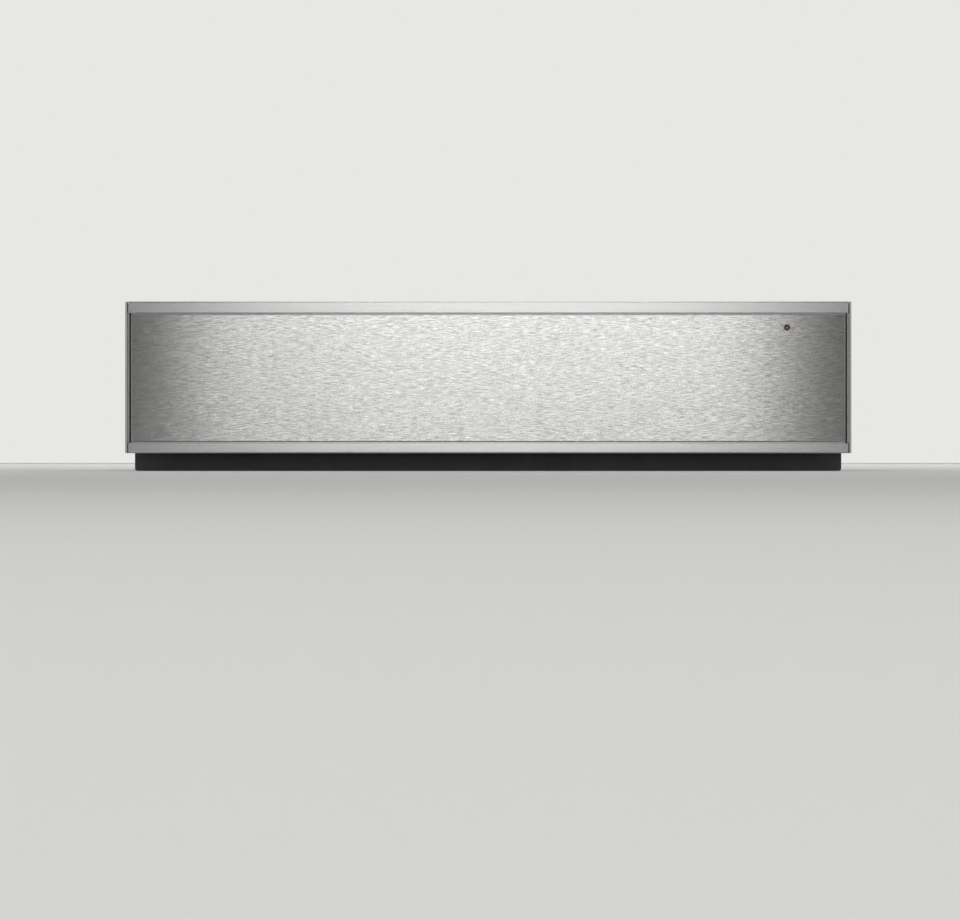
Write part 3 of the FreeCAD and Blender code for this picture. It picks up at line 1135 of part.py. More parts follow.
def pieces():
    """Every node's name and shape."""
    shapes = {
        "casing_tray": casing_tray(),
        "casing_rear_wall": casing_rear_wall(),
        "casing_top_cover": casing_top_cover(),
        "mounting_flange": mounting_flange(),
        "cavity_ceiling": cavity_ceiling(),
        "ceiling_insulation": ceiling_insulation(),
        "stop_buffers": stop_buffers(),
        "casing_screws": casing_screws(),
        "terminal_block": terminal_block(),
        "terminal_cover": terminal_cover(),
        "cable_gland": cable_gland(),
        "drawer_well": drawer_well(),
        "drawer_shell": drawer_shell(),
        "well_insulation": well_insulation(),
        "base_insulation": base_insulation(),
        "base_glass": base_glass(),
        "glass_seal": glass_seal(),
        "heater_carrier": heater_carrier(),
        "heating_element": heating_element(),
        "front_carrier": front_carrier(),
        "front_insulation": front_insulation(),
        "front_panel": front_panel(),
        "front_top_strip": front_top_strip(),
        "front_bottom_strip": front_bottom_strip(),
        "front_screws": front_screws(),
        "indicator_bezel": indicator_bezel(),
        "indicator_lens": indicator_lens(),
        "indicator_lamp": indicator_lamp(),
        "control_dish": control_dish(),
        "rotary_switch": rotary_switch(),
        "selector_knob": selector_knob(),
        "selector_spindle": selector_spindle(),
        "air_duct": air_duct(),
        "air_grille": air_grille(),
        "fan_wheel": fan_wheel(),
        "fan_shaft": fan_shaft(),
        "fan_motor": fan_motor(),
        "ring_heater": ring_heater(),
        "safety_thermostat": safety_thermostat(),
    }
    right_hand = {
        "rail_fixed": rail_fixed(),
        "rail_middle": rail_middle(),
        "rail_drawer": rail_drawer(),
        "ball_cage_outer": ball_cage(OUTER_CAGE_WEB, OUTER_CAGE_TIP, OUTER_BALL_U, OUTER_BALL_V),
        "ball_cage_inner": ball_cage(INNER_CAGE_WEB, INNER_CAGE_TIP, INNER_BALL_U, INNER_BALL_V),
        "push_latch": push_latch(),
        "latch_striker": latch_striker(),
        "front_side": front_side(),
    }
    for name, shape in right_hand.items():
        for side, word in LEFT_AND_RIGHT:
            shapes[f"{name}_{word}"] = on_side(shape, side)
    return shapes


os.makedirs("parts", exist_ok=True)
for node, shape in pieces().items():
    shape.exportStep(f"parts/{node}.step")
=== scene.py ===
import json
import math

import bmesh
import bpy
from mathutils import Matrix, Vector


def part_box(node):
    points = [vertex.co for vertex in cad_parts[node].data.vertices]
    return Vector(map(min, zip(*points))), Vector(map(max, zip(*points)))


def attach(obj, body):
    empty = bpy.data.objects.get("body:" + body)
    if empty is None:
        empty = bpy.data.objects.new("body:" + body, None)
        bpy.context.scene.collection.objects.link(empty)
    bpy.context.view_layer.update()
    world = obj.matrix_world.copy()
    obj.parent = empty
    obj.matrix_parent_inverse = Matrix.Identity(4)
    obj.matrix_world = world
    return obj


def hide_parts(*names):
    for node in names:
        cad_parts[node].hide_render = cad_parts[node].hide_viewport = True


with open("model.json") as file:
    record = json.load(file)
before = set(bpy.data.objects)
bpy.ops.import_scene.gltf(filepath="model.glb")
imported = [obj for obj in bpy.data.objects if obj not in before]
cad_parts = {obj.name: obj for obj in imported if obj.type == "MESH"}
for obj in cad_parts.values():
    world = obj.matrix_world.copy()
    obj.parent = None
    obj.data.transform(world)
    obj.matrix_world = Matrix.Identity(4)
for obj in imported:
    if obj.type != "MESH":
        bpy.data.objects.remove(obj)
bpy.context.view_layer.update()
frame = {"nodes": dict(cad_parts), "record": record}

bl_info = {
    "name": "Built-in warming drawer",
    "version": (1, 0, 0),
    "blender": (4, 5, 0),
    "location": "3D View > Sidebar > Warming Drawer",
    "description": "Dresses the packed model of a push-to-open warming drawer",
    "category": "Object",
}

MM = 0.001

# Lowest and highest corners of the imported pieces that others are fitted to
PANEL_LOW, PANEL_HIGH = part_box("front_panel")
CASING_LOW, CASING_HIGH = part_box("casing_tray")
RIM_LOW, RIM_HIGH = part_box("drawer_well")
GRILLE_LOW, GRILLE_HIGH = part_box("air_grille")
KNOB_LOW, KNOB_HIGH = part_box("selector_knob")
DISH_LOW, DISH_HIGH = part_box("control_dish")
BEZEL_LOW, BEZEL_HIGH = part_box("indicator_bezel")
KNOB_MIDDLE = (KNOB_LOW + KNOB_HIGH) / 2
LAMP_MIDDLE = (BEZEL_LOW + BEZEL_HIGH) / 2


# ---- Sizes and colours that a user would change ----

class FrontSettings(bpy.types.PropertyGroup):
    """Front panel and its trims."""
    steel: bpy.props.FloatVectorProperty(
        name="Steel", description="Colour of the brushed panel", subtype="COLOR", size=3,
        default=(0.45, 0.45, 0.440), min=0, max=1)
    aluminium: bpy.props.FloatVectorProperty(
        name="Aluminium", description="Colour of the anodised trims", subtype="COLOR", size=3,
        default=(0.46, 0.46, 0.457), min=0, max=1)
    grain_length: bpy.props.FloatProperty(
        name="Grain length", description="Length of the brush marks", default=0.0064,
        min=0.002, unit="LENGTH")
    grain_height: bpy.props.FloatProperty(
        name="Grain height", description="Height of the brush marks", default=0.00026,
        min=0.0002, unit="LENGTH")
    panel_side: bpy.props.FloatProperty(
        name="Panel side", description="Radius of the panel's folds at left and right", default=0.0011,
        min=0.0005, max=0.004, unit="LENGTH")
    panel_edge: bpy.props.FloatProperty(
        name="Panel edge", description="Radius of the panel's folds at top and bottom", default=0.0007,
        min=0.0003, max=0.001, unit="LENGTH")
    trim_edge: bpy.props.FloatProperty(
        name="Trim edge", description="Radius of the trims' long edges", default=0.0005,
        min=0.0002, max=0.001, unit="LENGTH")


class ScrewSettings(bpy.types.PropertyGroup):
    """Heads of the visible screws."""
    head_radius: bpy.props.FloatProperty(
        name="Head radius", description="Radius of a screw head", default=0.0034, unit="LENGTH")
    head_height: bpy.props.FloatProperty(
        name="Head height", description="Height of a screw head", default=0.0016, unit="LENGTH")
    recess_length: bpy.props.FloatProperty(
        name="Recess length", description="Length of the cross recess", default=0.0036, unit="LENGTH")
    recess_width: bpy.props.FloatProperty(
        name="Recess width", description="Width of the cross recess", default=0.0008, unit="LENGTH")


class SlideSettings(bpy.types.PropertyGroup):
    """Balls in the slides' cages."""
    ball_radius: bpy.props.FloatProperty(
        name="Ball radius", description="Radius of a slide's balls", default=0.0016, unit="LENGTH")
    ball_pitch: bpy.props.FloatProperty(
        name="Ball pitch", description="Distance between balls of a row", default=0.015, unit="LENGTH")
    ball_count: bpy.props.IntProperty(
        name="Balls in a row", description="Number of balls in one row", default=11, min=2, max=20)


class StageSettings(bpy.types.PropertyGroup):
    """Floor, walls, lights and camera."""
    floor: bpy.props.FloatVectorProperty(
        name="Floor", description="Colour of the floor and walls", subtype="COLOR", size=3,
        default=(0.80, 0.80, 0.79), min=0, max=1)
    distance: bpy.props.FloatProperty(
        name="Camera distance", description="Camera to the front's face", default=2.4, unit="LENGTH")
    eye_height: bpy.props.FloatProperty(
        name="Camera height", description="Camera above the floor", default=0.0089, unit="LENGTH")
    lens: bpy.props.FloatProperty(
        name="Lens", description="Focal length of the camera", default=110.9, unit="CAMERA")


class WarmingDrawerSettings(bpy.types.PropertyGroup):
    """All settings of the warming drawer."""
    front: bpy.props.PointerProperty(type=FrontSettings, name="Front", description="Front panel and trims")
    screws: bpy.props.PointerProperty(type=ScrewSettings, name="Screws", description="Screw heads")
    slides: bpy.props.PointerProperty(type=SlideSettings, name="Slides", description="Balls of the slides")
    stage: bpy.props.PointerProperty(type=StageSettings, name="Stage", description="Floor, lights and camera")


def settings():
    """The scene's own group of settings."""
    return bpy.context.scene.warming_drawer


def add_node(tree, kind, inputs=None, **values):
    """New node with its own settings. An input takes a number, an output, or a list of outputs."""
    node = tree.nodes.new(kind)
    for key, value in values.items():
        setattr(node, key, value)
    for socket, given in (inputs or {}).items():
        for value in given if isinstance(given, list) else [given]:
            if isinstance(value, bpy.types.NodeSocket):
                tree.links.new(value, node.inputs[socket])
            else:
                node.inputs[socket].default_value = value
    return node


# ---- Finishes ----

class Finish:
    """A material in the making: one Principled shader and the patterns that feed it."""

    def __init__(self, name, colour, metallic, roughness, sockets=None):
        self.material = bpy.data.materials.new(name + "_finish")
        self.material.use_nodes = True
        self.tree = self.material.node_tree
        self.shader = self.tree.nodes["Principled BSDF"]
        self.colour = (*colour, 1.0)
        own = {"Base Color": self.colour, "Metallic": metallic, "Roughness": roughness, **(sockets or {})}
        for socket, value in own.items():
            self.shader.inputs[socket].default_value = value
        self.place = self.add("ShaderNodeTexCoord").outputs["Object"]
        self.relief = None

    def add(self, kind, inputs=None, **values):
        """New node of this material."""
        return add_node(self.tree, kind, inputs, **values)

    def stretched(self, period):
        """Object coordinates, scaled so that the period is that many metres, along all axes or along each."""
        steps = period if isinstance(period, tuple) else (period,) * 3
        scale = tuple(1 / step for step in steps)
        return self.add("ShaderNodeMapping", {"Vector": self.place, "Scale": scale}).outputs["Vector"]

    def noise(self, period, detail=3.0, roughness=0.55):
        """Soft random pattern."""
        return self.add("ShaderNodeTexNoise", {"Vector": self.stretched(period), "Scale": 1.0, "Detail": detail,
                                               "Roughness": roughness}).outputs["Fac"]

    def cells(self, period):
        """A random value for each cell."""
        node = self.add("ShaderNodeTexVoronoi", {"Vector": self.stretched(period), "Scale": 1.0})
        return self.add("ShaderNodeSeparateColor", {"Color": node.outputs["Color"]}).outputs["Red"]

    def blend(self, share, one, other):
        """Mix of two patterns."""
        return self.add("ShaderNodeMix", {0: share, 2: one, 3: other}, data_type="FLOAT").outputs[0]

    def ranged(self, pattern, low, high, start=0.3, end=0.7):
        """Pattern values from start to end, mapped to low to high."""
        return self.add("ShaderNodeMapRange", {"Value": pattern, "From Min": start, "From Max": end,
                                               "To Min": low, "To Max": high}).outputs["Result"]

    def tint(self, pattern, *levels):
        """Base colour times a value that follows the pattern."""
        source = self.shader.inputs["Base Color"]
        before = source.links[0].from_socket if source.links else self.colour
        node = self.add("ShaderNodeMix", {0: 1.0, 6: before, 7: self.ranged(pattern, *levels)},
                        data_type="RGBA", blend_type="MULTIPLY")
        self.tree.links.new(node.outputs[2], source)

    def rough(self, pattern, *levels):
        """Roughness that follows the pattern."""
        self.tree.links.new(self.ranged(pattern, *levels), self.shader.inputs["Roughness"])

    def bump(self, pattern, distance, strength=1.0):
        """Relief of the surface, laid over the relief before it."""
        inputs = {"Height": pattern, "Distance": distance, "Strength": strength}
        if self.relief is not None:
            inputs["Normal"] = self.relief
        self.relief = self.add("ShaderNodeBump", inputs).outputs["Normal"]
        self.tree.links.new(self.relief, self.shader.inputs["Normal"])

    def clear_from_behind(self):
        """Lets sight and light through where the surface is met from its back."""
        side = self.add("ShaderNodeNewGeometry").outputs["Backfacing"]
        clear = self.add("ShaderNodeBsdfTransparent").outputs["BSDF"]
        mix = self.add("ShaderNodeMixShader", {0: side, 1: self.shader.outputs["BSDF"], 2: clear})
        self.tree.links.new(mix.outputs["Shader"], self.tree.nodes["Material Output"].inputs["Surface"])


def brushed_front():
    """Stainless steel with short horizontal brush marks."""
    front = settings().front
    length, height = front.grain_length, front.grain_height
    steel = Finish("brushed_front", front.steel, 1.0, 0.20, {"Anisotropic": 0.97, "Anisotropic Rotation": 0.25})
    coarse = steel.noise((length, length, height), 2.0, 0.5)
    fine = steel.noise((length / 6, length / 6, height), 2.0, 0.5)
    marks = steel.blend(0.5, coarse, fine)
    steel.tint(marks, 0.42, 1.58, 0.35, 0.65)
    steel.rough(marks, 0.205, 0.170, 0.32, 0.68)
    steel.bump(marks, 0.000012)
    steel.bump(steel.noise((0.16, 0.16, 0.10), 1.0, 0.4), 0.00004)
    return steel.material


def satin_aluminium():
    """Bead-blasted, anodised aluminium with a faint drawing grain."""
    metal = Finish("satin_aluminium", settings().front.aluminium, 1.0, 0.24,
                   {"Anisotropic": 0.55, "Anisotropic Rotation": 0.25})
    grain = metal.noise(0.00035, 2.0)
    drawn = metal.noise((0.05, 0.0012, 0.0012), 2.0)
    metal.tint(metal.blend(0.5, grain, drawn), 0.93, 1.05)
    metal.rough(grain, 0.21, 0.27)
    metal.bump(grain, 0.000008)
    return metal.material


def galvanised_sheet():
    """Zinc-coated sheet: crystals a few millimetres across, faint smears and specks."""
    zinc = Finish("galvanised_sheet", (0.56, 0.575, 0.58), 1.0, 0.42)
    spangle = zinc.blend(0.4, zinc.cells(0.0075), zinc.cells(0.0032))
    smear = zinc.noise((0.09, 0.05, 0.07), 3.0)
    zinc.tint(spangle, 0.84, 1.06, 0.0, 1.0)
    zinc.tint(smear, 0.92, 1.05)
    zinc.rough(zinc.blend(0.5, spangle, smear), 0.34, 0.52, 0.2, 0.8)
    zinc.bump(spangle, 0.000012)
    zinc.bump(zinc.noise(0.0012, 2.0), 0.000015)
    return zinc.material


def stainless_well():
    """Satin stainless of the well, brushed lengthways, with faint polishing marks."""
    steel = Finish("stainless_well", (0.62, 0.62, 0.605), 1.0, 0.28, {"Anisotropic": 0.35})
    lines = steel.noise((0.03, 0.0007, 0.0007), 2.0)
    cloud = steel.noise(0.06, 3.0)
    steel.tint(lines, 0.90, 1.06)
    steel.tint(cloud, 0.95, 1.03)
    steel.rough(steel.blend(0.4, lines, cloud), 0.24, 0.36)
    steel.bump(lines, 0.000004)
    return steel.material


def mineral_wool():
    """Pressed mineral wool with matted fibres."""
    wool = Finish("mineral_wool", (0.60, 0.53, 0.38), 0.0, 0.95, {"Sheen Weight": 0.3})
    fibre = wool.noise((0.012, 0.012, 0.0008), 5.0, 0.7)
    cross = wool.noise((0.0010, 0.008, 0.006), 5.0, 0.7)
    mat = wool.blend(0.5, fibre, cross)
    wool.tint(mat, 0.62, 1.25)
    wool.tint(wool.noise((0.02, 0.02, 0.01), 3.0), 0.85, 1.1)
    wool.bump(mat, 0.0009)
    return wool.material


MIXED = {made.__name__: made for made in (brushed_front, satin_aluminium, galvanised_sheet, stainless_well,
                                          mineral_wool)}

# Finishes made of plain layers of noise: colour, metallic, roughness, other sockets of the shader, and the layers.
# A layer has a period in metres, a detail, and what it does with which numbers.
MOULDED = [(0.03, 2.0, {"tint": (0.92, 1.08)}), (0.0009, 2.0, {"rough": (0.42, 0.58), "bump": (0.00005,)})]
LAYERED = {
    # Satin black powder coat with a fine orange peel
    "black_flange": ((0.055, 0.056, 0.058), 0.0, 0.46, {"Specular IOR Level": 0.55}, [
        (0.04, 4.0, {"tint": (0.85, 1.25)}),
        (0.0016, 2.0, {"rough": (0.40, 0.54), "bump": (0.00006, 0.6)})]),
    # Bright zinc on cold-rolled slide members, with drawing lines and a trace of grease
    "slide_steel": ((0.66, 0.67, 0.68), 1.0, 0.26, {}, [
        ((0.0009, 0.12, 0.0009), 2.0, {"tint": (0.92, 1.04), "bump": (0.00001,)}),
        ((0.03, 0.05, 0.012), 3.0, {"tint": (0.88, 1.04), "rough": (0.20, 0.36)})]),
    # Yellow passivated strip
    "ball_cage_steel": ((0.68, 0.60, 0.40), 1.0, 0.34, {}, [
        ((0.006, 0.02, 0.006), 3.0, {"tint": (0.85, 1.08), "rough": (0.28, 0.42)})]),
    # Polished bearing steel
    "ball_steel": ((0.74, 0.74, 0.75), 1.0, 0.12, {}, [(0.003, 2.0, {"tint": (0.9, 1.05), "rough": (0.08, 0.18)})]),
    # Black toughened glass with a printed underside and faint wipe marks
    "dark_glass": ((0.018, 0.018, 0.02), 0.0, 0.06, {}, [
        (0.0006, 2.0, {"tint": (0.8, 1.5, 0.45, 0.75)}),
        ((0.08, 0.02, 0.05), 3.0, {"rough": (0.045, 0.10)})]),
    # Black silicone bead
    "silicone": ((0.045, 0.045, 0.047), 0.0, 0.55, {}, [
        ((0.006, 0.006, 0.002), 3.0, {"rough": (0.45, 0.62), "bump": (0.0002,)})]),
    # Matte black rubber with a dusty bloom
    "buffer_rubber": ((0.035, 0.035, 0.037), 0.0, 0.8, {}, [(0.004, 4.0, {"tint": (0.8, 1.5), "bump": (0.00008,)})]),
    # Bright zinc on screws, a little worn
    "screw_steel": ((0.62, 0.63, 0.64), 1.0, 0.28, {}, [(0.002, 3.0, {"tint": (0.82, 1.08), "rough": (0.22, 0.40)})]),
    # Dark reddish-brown ring round the lamp
    "lamp_ring": ((0.036, 0.015, 0.010), 0.0, 0.42, {"Specular IOR Level": 0.35}, [
        (0.002, 2.0, {"tint": (0.85, 1.2), "rough": (0.36, 0.48)})]),
    # Unlit amber lens: its light colour is partly its own amber tint and partly a painted highlight for the glint at
    # its centre
    "lamp_lens": ((0.38, 0.21, 0.165), 0.0, 0.16, {"Coat Weight": 0.5}, [
        (0.0012, 2.0, {"tint": (0.8, 1.3), "rough": (0.10, 0.24)})]),
    # Oxidised resistance strip and heater tube
    "element_foil": ((0.40, 0.36, 0.32), 1.0, 0.40, {}, [
        ((0.02, 0.02, 0.006), 4.0, {"tint": (0.7, 1.15), "rough": (0.32, 0.52)})]),
    # Spun satin knob
    "knob_metal": ((0.62, 0.62, 0.61), 1.0, 0.26, {"Anisotropic": 0.5}, [
        ((0.0006, 0.0006, 0.004), 2.0, {"tint": (0.92, 1.05), "rough": (0.22, 0.34)})]),
    # Zinc-plated motor can
    "motor_steel": ((0.42, 0.43, 0.44), 1.0, 0.38, {}, [(0.01, 3.0, {"tint": (0.85, 1.1), "rough": (0.3, 0.46)})]),
    # Pressed aluminium of the fan wheel
    "fan_alloy": ((0.66, 0.66, 0.66), 1.0, 0.34, {}, [(0.004, 3.0, {"tint": (0.9, 1.05), "rough": (0.28, 0.42)})]),
    # Black print on the knob and the rim
    "dial_print": ((0.015, 0.015, 0.016), 0.0, 0.5, {}, [(0.0008, 2.0, {"rough": (0.42, 0.6)})]),
    # Moulded plastics with a spark-eroded grain
    "black_plastic": ((0.028, 0.028, 0.030), 0.0, 0.5, {}, MOULDED),
    "white_plastic": ((0.72, 0.71, 0.67), 0.0, 0.5, {}, MOULDED),
}


def layered(name):
    """A finish from its row in the table."""
    *looks, layers = LAYERED[name]
    made = Finish(name, *looks)
    for period, detail, effects in layers:
        pattern = made.noise(period, detail)
        for effect, numbers in effects.items():
            getattr(made, effect)(pattern, *numbers)
    return made.material


FINISHED = {}


def finish(name):
    """The finished material of that name, made once."""
    if name not in FINISHED:
        FINISHED[name] = MIXED[name]() if name in MIXED else layered(name)
    return FINISHED[name]


# ---- Mesh helpers ----

def put(name, mesh):
    """Object of a mesh, in the scene."""
    made = bpy.data.objects.new(name, mesh)
    bpy.context.collection.objects.link(made)
    return made


def evaluated(host, *tools):
    """Plain mesh of an object with its modifiers applied. The object and its tools are let go."""
    bpy.context.view_layer.update()
    mesh = bpy.data.meshes.new_from_object(host.evaluated_get(bpy.context.evaluated_depsgraph_get()))
    host.modifiers.clear()
    for used in (host, *tools):
        bpy.data.objects.remove(used)
    return mesh


def settle(mesh, angle=32.0):
    """Outward faces, sharp creases, and smooth shading that leaves large flat faces flat."""
    work = bmesh.new()
    work.from_mesh(mesh)
    bmesh.ops.remove_doubles(work, verts=work.verts, dist=1e-6)
    bmesh.ops.recalc_face_normals(work, faces=work.faces)
    work.to_mesh(mesh)
    work.free()
    mesh.shade_smooth()
    mesh.set_sharp_from_angle(angle=math.radians(angle))
    host = put("host", mesh)
    weighting = host.modifiers.new("weighting", "WEIGHTED_NORMAL")
    weighting.weight = 100
    weighting.keep_sharp = True
    return evaluated(host)


def piece(name, mesh, body, slot, stands_for=(), look=None):
    """Puts a finished mesh into the scene on its body, with its finish."""
    made = put(name, mesh)
    mesh.materials.clear()
    mesh.materials.append(finish(look or slot))
    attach(made, body)
    if stands_for:
        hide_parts(*stands_for)


def mesh_of(name, vertices, faces, angle=32.0):
    """Settled mesh from plain lists."""
    mesh = bpy.data.meshes.new(name)
    mesh.from_pydata(vertices, [], faces)
    return settle(mesh, angle)


def swept(name, loops, angle):
    """Closed skin through loops of equal length that follow each other back to the first."""
    size = len(loops[0])
    faces = []
    for ring in range(len(loops)):
        here, ahead = ring * size, (ring + 1) % len(loops) * size
        for step in range(size):
            on = (step + 1) % size
            faces.append((here + step, here + on, ahead + on, ahead + step))
    return mesh_of(name, [point for loop in loops for point in loop], faces, angle)


def ringed(name, profile, centre, axis, steps):
    """Ring about Y or Z with a closed profile of (radius, height) in millimetres."""
    loops = []
    for radius, height in profile:
        turns = [2 * math.pi * step / steps for step in range(steps)]
        spots = [(radius * math.cos(turn), radius * math.sin(turn)) for turn in turns]
        loops.append([centre + Vector((a, height, b) if axis == "Y" else (a, b, height)) * MM for a, b in spots])
    return swept(name, loops, 40.0)


def turned(name, profile, centre, axis, radius_at=None, steps=64, angle=32.0):
    """Solid turned about an axis through centre. Its profile runs from pole to pole, in millimetres."""
    side, up = Vector((1, 0, 0)), Vector(axis)
    across = up.cross(side)
    vertices, rings, faces = [], [], []
    for radius, height in profile:
        middle = centre + up * height * MM
        if radius == 0:
            rings.append([len(vertices)] * steps)
            vertices.append(middle)
            continue
        rings.append(list(range(len(vertices), len(vertices) + steps)))
        for step in range(steps):
            turn = 2 * math.pi * step / steps
            reach = (radius_at(radius, turn) if radius_at else radius) * MM
            vertices.append(middle + (side * math.cos(turn) + across * math.sin(turn)) * reach)
    for low, high in zip(rings, rings[1:]):
        for step in range(steps):
            on = (step + 1) % steps
            faces.append(list(dict.fromkeys([low[step], low[on], high[on], high[step]])))
    return mesh_of(name, vertices, faces, angle)


def drawn_out(name, section, axis, start, end, edge_radius=0.0, soft_corners=(), steps=3):
    """Section drawn out along an axis, with the long edges at the named corners rounded."""
    work = bmesh.new()
    along = "XYZ".index(axis)
    ends = [[work.verts.new((*spot[:along], place, *spot[along:])) for spot in section] for place in (start, end)]
    work.faces.new(ends[0])
    work.faces.new(ends[1][::-1])
    for step in range(len(section)):
        on = (step + 1) % len(section)
        work.faces.new((ends[0][step], ends[1][step], ends[1][on], ends[0][on]))
    soft = [edge for corner in soft_corners for edge in ends[0][corner].link_edges
            if edge.other_vert(ends[0][corner]) is ends[1][corner]]
    if soft:
        bevel(work, soft, edge_radius, steps)
    return settle(plain_mesh(work, name), 25.0)


def bevel(work, edges, radius, steps):
    """Rounds edges of a bmesh."""
    bmesh.ops.bevel(work, geom=edges, offset=radius, segments=steps, profile=0.5, affect="EDGES")


def block(low, high):
    """Plain block as a bmesh."""
    work = bmesh.new()
    bmesh.ops.create_cube(work, size=1.0)
    for vertex in work.verts:
        vertex.co = [low[i] + (vertex.co[i] + 0.5) * (high[i] - low[i]) for i in range(3)]
    return work


def plain_mesh(work, name="tool"):
    """Mesh from a bmesh, which is let go."""
    mesh = bpy.data.meshes.new(name)
    work.to_mesh(mesh)
    work.free()
    return mesh


def pressed_sheet(name, high, thick, xs, ys, depth_at):
    """Level sheet on a grid of lines, pressed down by its own depth at each crossing."""
    columns, rows = len(xs), len(ys)
    vertices = []
    for drop in (0, thick):
        vertices += [(x, y, high.z - drop - depth_at(x, y)) for y in ys for x in xs]
    under = columns * rows
    faces = []
    for row in range(rows - 1):
        for column in range(columns - 1):
            corner = row * columns + column
            quad = (corner, corner + 1, corner + columns + 1, corner + columns)
            faces += [quad, tuple(under + index for index in reversed(quad))]
    edge = list(range(columns))
    edge += [row * columns + columns - 1 for row in range(1, rows)]
    edge += [(rows - 1) * columns + column for column in range(columns - 2, -1, -1)]
    edge += [row * columns for row in range(rows - 2, 0, -1)]
    for here, ahead in zip(edge, edge[1:] + edge[:1]):
        faces.append((here, ahead, under + ahead, under + here))
    return mesh_of(name, vertices, faces, 40.0)


def cut_away(mesh, cutters, angle=25.0):
    """The mesh with closed cutter meshes taken out of it, settled."""
    host = put("host", mesh)
    tools = [put("cutter", cutter) for cutter in cutters]
    for tool in tools:
        modifier = host.modifiers.new("cut", "BOOLEAN")
        modifier.operation = "DIFFERENCE"
        modifier.solver = "EXACT"
        modifier.object = tool
    return settle(evaluated(host, *tools), angle)


def rounded_loop(half_x, y0, y1, radius, z, steps=8):
    """Points of a rounded rectangle at a height, the same number for any size."""
    loop = []
    out, low, high = half_x - radius, y0 + radius, y1 - radius
    for x, y, first in ((out, high, 0), (-out, high, 90), (-out, low, 180), (out, low, 270)):
        for step in range(steps + 1):
            turn = math.radians(first + 90 * step / steps)
            loop.append((x + radius * math.cos(turn), y + radius * math.sin(turn), z))
    return loop


# ---- Geometry Nodes for what repeats ----

class Grower:
    """A Geometry Nodes tree in the making. Its sizes are named inputs, and the last one is its finish."""

    def __init__(self, name, **sizes):
        self.tree = bpy.data.node_groups.new(name, "GeometryNodeTree")
        self.named = {}
        for label, kind in (("Geometry", "Geometry"), *sizes.items(), ("Finish", "Material")):
            label = label.replace("_", " ")
            socket = self.tree.interface.new_socket(label, in_out="INPUT", socket_type="NodeSocket" + kind)
            self.named[label] = socket.identifier
        self.tree.interface.new_socket("Geometry", in_out="OUTPUT", socket_type="NodeSocketGeometry")
        self.start = self.tree.nodes.new("NodeGroupInput")

    def __getitem__(self, label):
        """One of the tree's inputs."""
        return self.start.outputs[label]

    def add(self, kind, inputs=None, **values):
        """New geometry node."""
        return add_node(self.tree, "GeometryNode" + kind, inputs, **values)

    def step(self, kind, inputs=None, **values):
        """First output of a new geometry node."""
        return self.add(kind, inputs, **values).outputs[0]

    def times(self, one, other, operation="MULTIPLY"):
        """Product of two numbers, or other arithmetic."""
        return add_node(self.tree, "ShaderNodeMath", {0: one, 1: other}, operation=operation).outputs[0]

    def vector(self, x=0.0, y=0.0, z=0.0):
        """Vector from three numbers or outputs."""
        return add_node(self.tree, "ShaderNodeCombineXYZ", {0: x, 1: y, 2: z}).outputs[0]

    def close(self, instance, turn=(0.0, 0.0, 0.0)):
        """Last nodes of every tree: the instance on each place, made real, with its finish."""
        placed = self.step("InstanceOnPoints", {"Points": self["Geometry"], "Instance": instance, "Rotation": turn})
        real = self.step("RealizeInstances", {"Geometry": placed})
        painted = self.step("SetMaterial", {"Geometry": real, "Material": self["Finish"]})
        add_node(self.tree, "NodeGroupOutput", {"Geometry": painted})
        return self

    def grow(self, name, places, look, values, facing=None, angle=32.0):
        """Plain, settled mesh that the tree makes from a set of places."""
        seed = bpy.data.meshes.new(name)
        seed.from_pydata([tuple(place) for place in places], [], [])
        if facing is not None:
            ways = seed.attributes.new("facing", "FLOAT_VECTOR", "POINT")
            ways.data.foreach_set("vector", [part for way in facing for part in way])
        holder = put(name, seed)
        modifier = holder.modifiers.new("grow", "NODES")
        modifier.node_group = self.tree
        modifier[self.named["Finish"]] = finish(look)
        for label, value in values.items():
            modifier[self.named[label]] = value
        mesh = evaluated(holder)
        mesh.name = name
        if not mesh.polygons:
            raise RuntimeError(f"{name} came out empty")
        return settle(mesh, angle)


TREES = {}


def tree_once(build):
    """Tree of a building function, kept in a table, so that it is built only once."""
    if build not in TREES:
        TREES[build] = build()
    return TREES[build]


def screw_tree():
    """Pan head with a cross recess, set on each place and turned to face the way the place names."""
    tree = Grower("pan_head_screws", Head_Radius="Float", Head_Height="Float", Recess_Length="Float",
                  Recess_Width="Float")
    height = tree["Head Height"]
    half = tree.times(height, 0.5)
    disc = tree.add("MeshCylinder", {"Vertices": 24, "Radius": tree["Head Radius"], "Depth": half}).outputs
    rise = tree.add("ExtrudeMesh", {"Mesh": disc["Mesh"], "Selection": disc["Top"], "Offset Scale": half},
                    mode="FACES").outputs
    pan = tree.step("ScaleElements", {"Geometry": rise["Mesh"], "Selection": rise["Top"], "Scale": 0.72})
    lift = tree.vector(z=tree.times(height, 0.85))
    bars = []
    for x, y in (("Recess Length", "Recess Width"), ("Recess Width", "Recess Length")):
        bar = tree.step("MeshCube", {"Size": tree.vector(tree[x], tree[y], height)})
        bars.append(tree.step("Transform", {"Geometry": bar, "Translation": lift}))
    head = tree.step("MeshBoolean", {"Mesh 1": pan, "Mesh 2": bars}, operation="DIFFERENCE")
    seated = tree.step("Transform", {"Geometry": head, "Translation": tree.vector(z=tree.times(height, 0.25))})
    way = tree.step("InputNamedAttribute", {"Name": "facing"}, data_type="FLOAT_VECTOR")
    turn = add_node(tree.tree, "FunctionNodeAlignRotationToVector", {"Vector": way}, axis="Z").outputs[0]
    return tree.close(seated, turn)


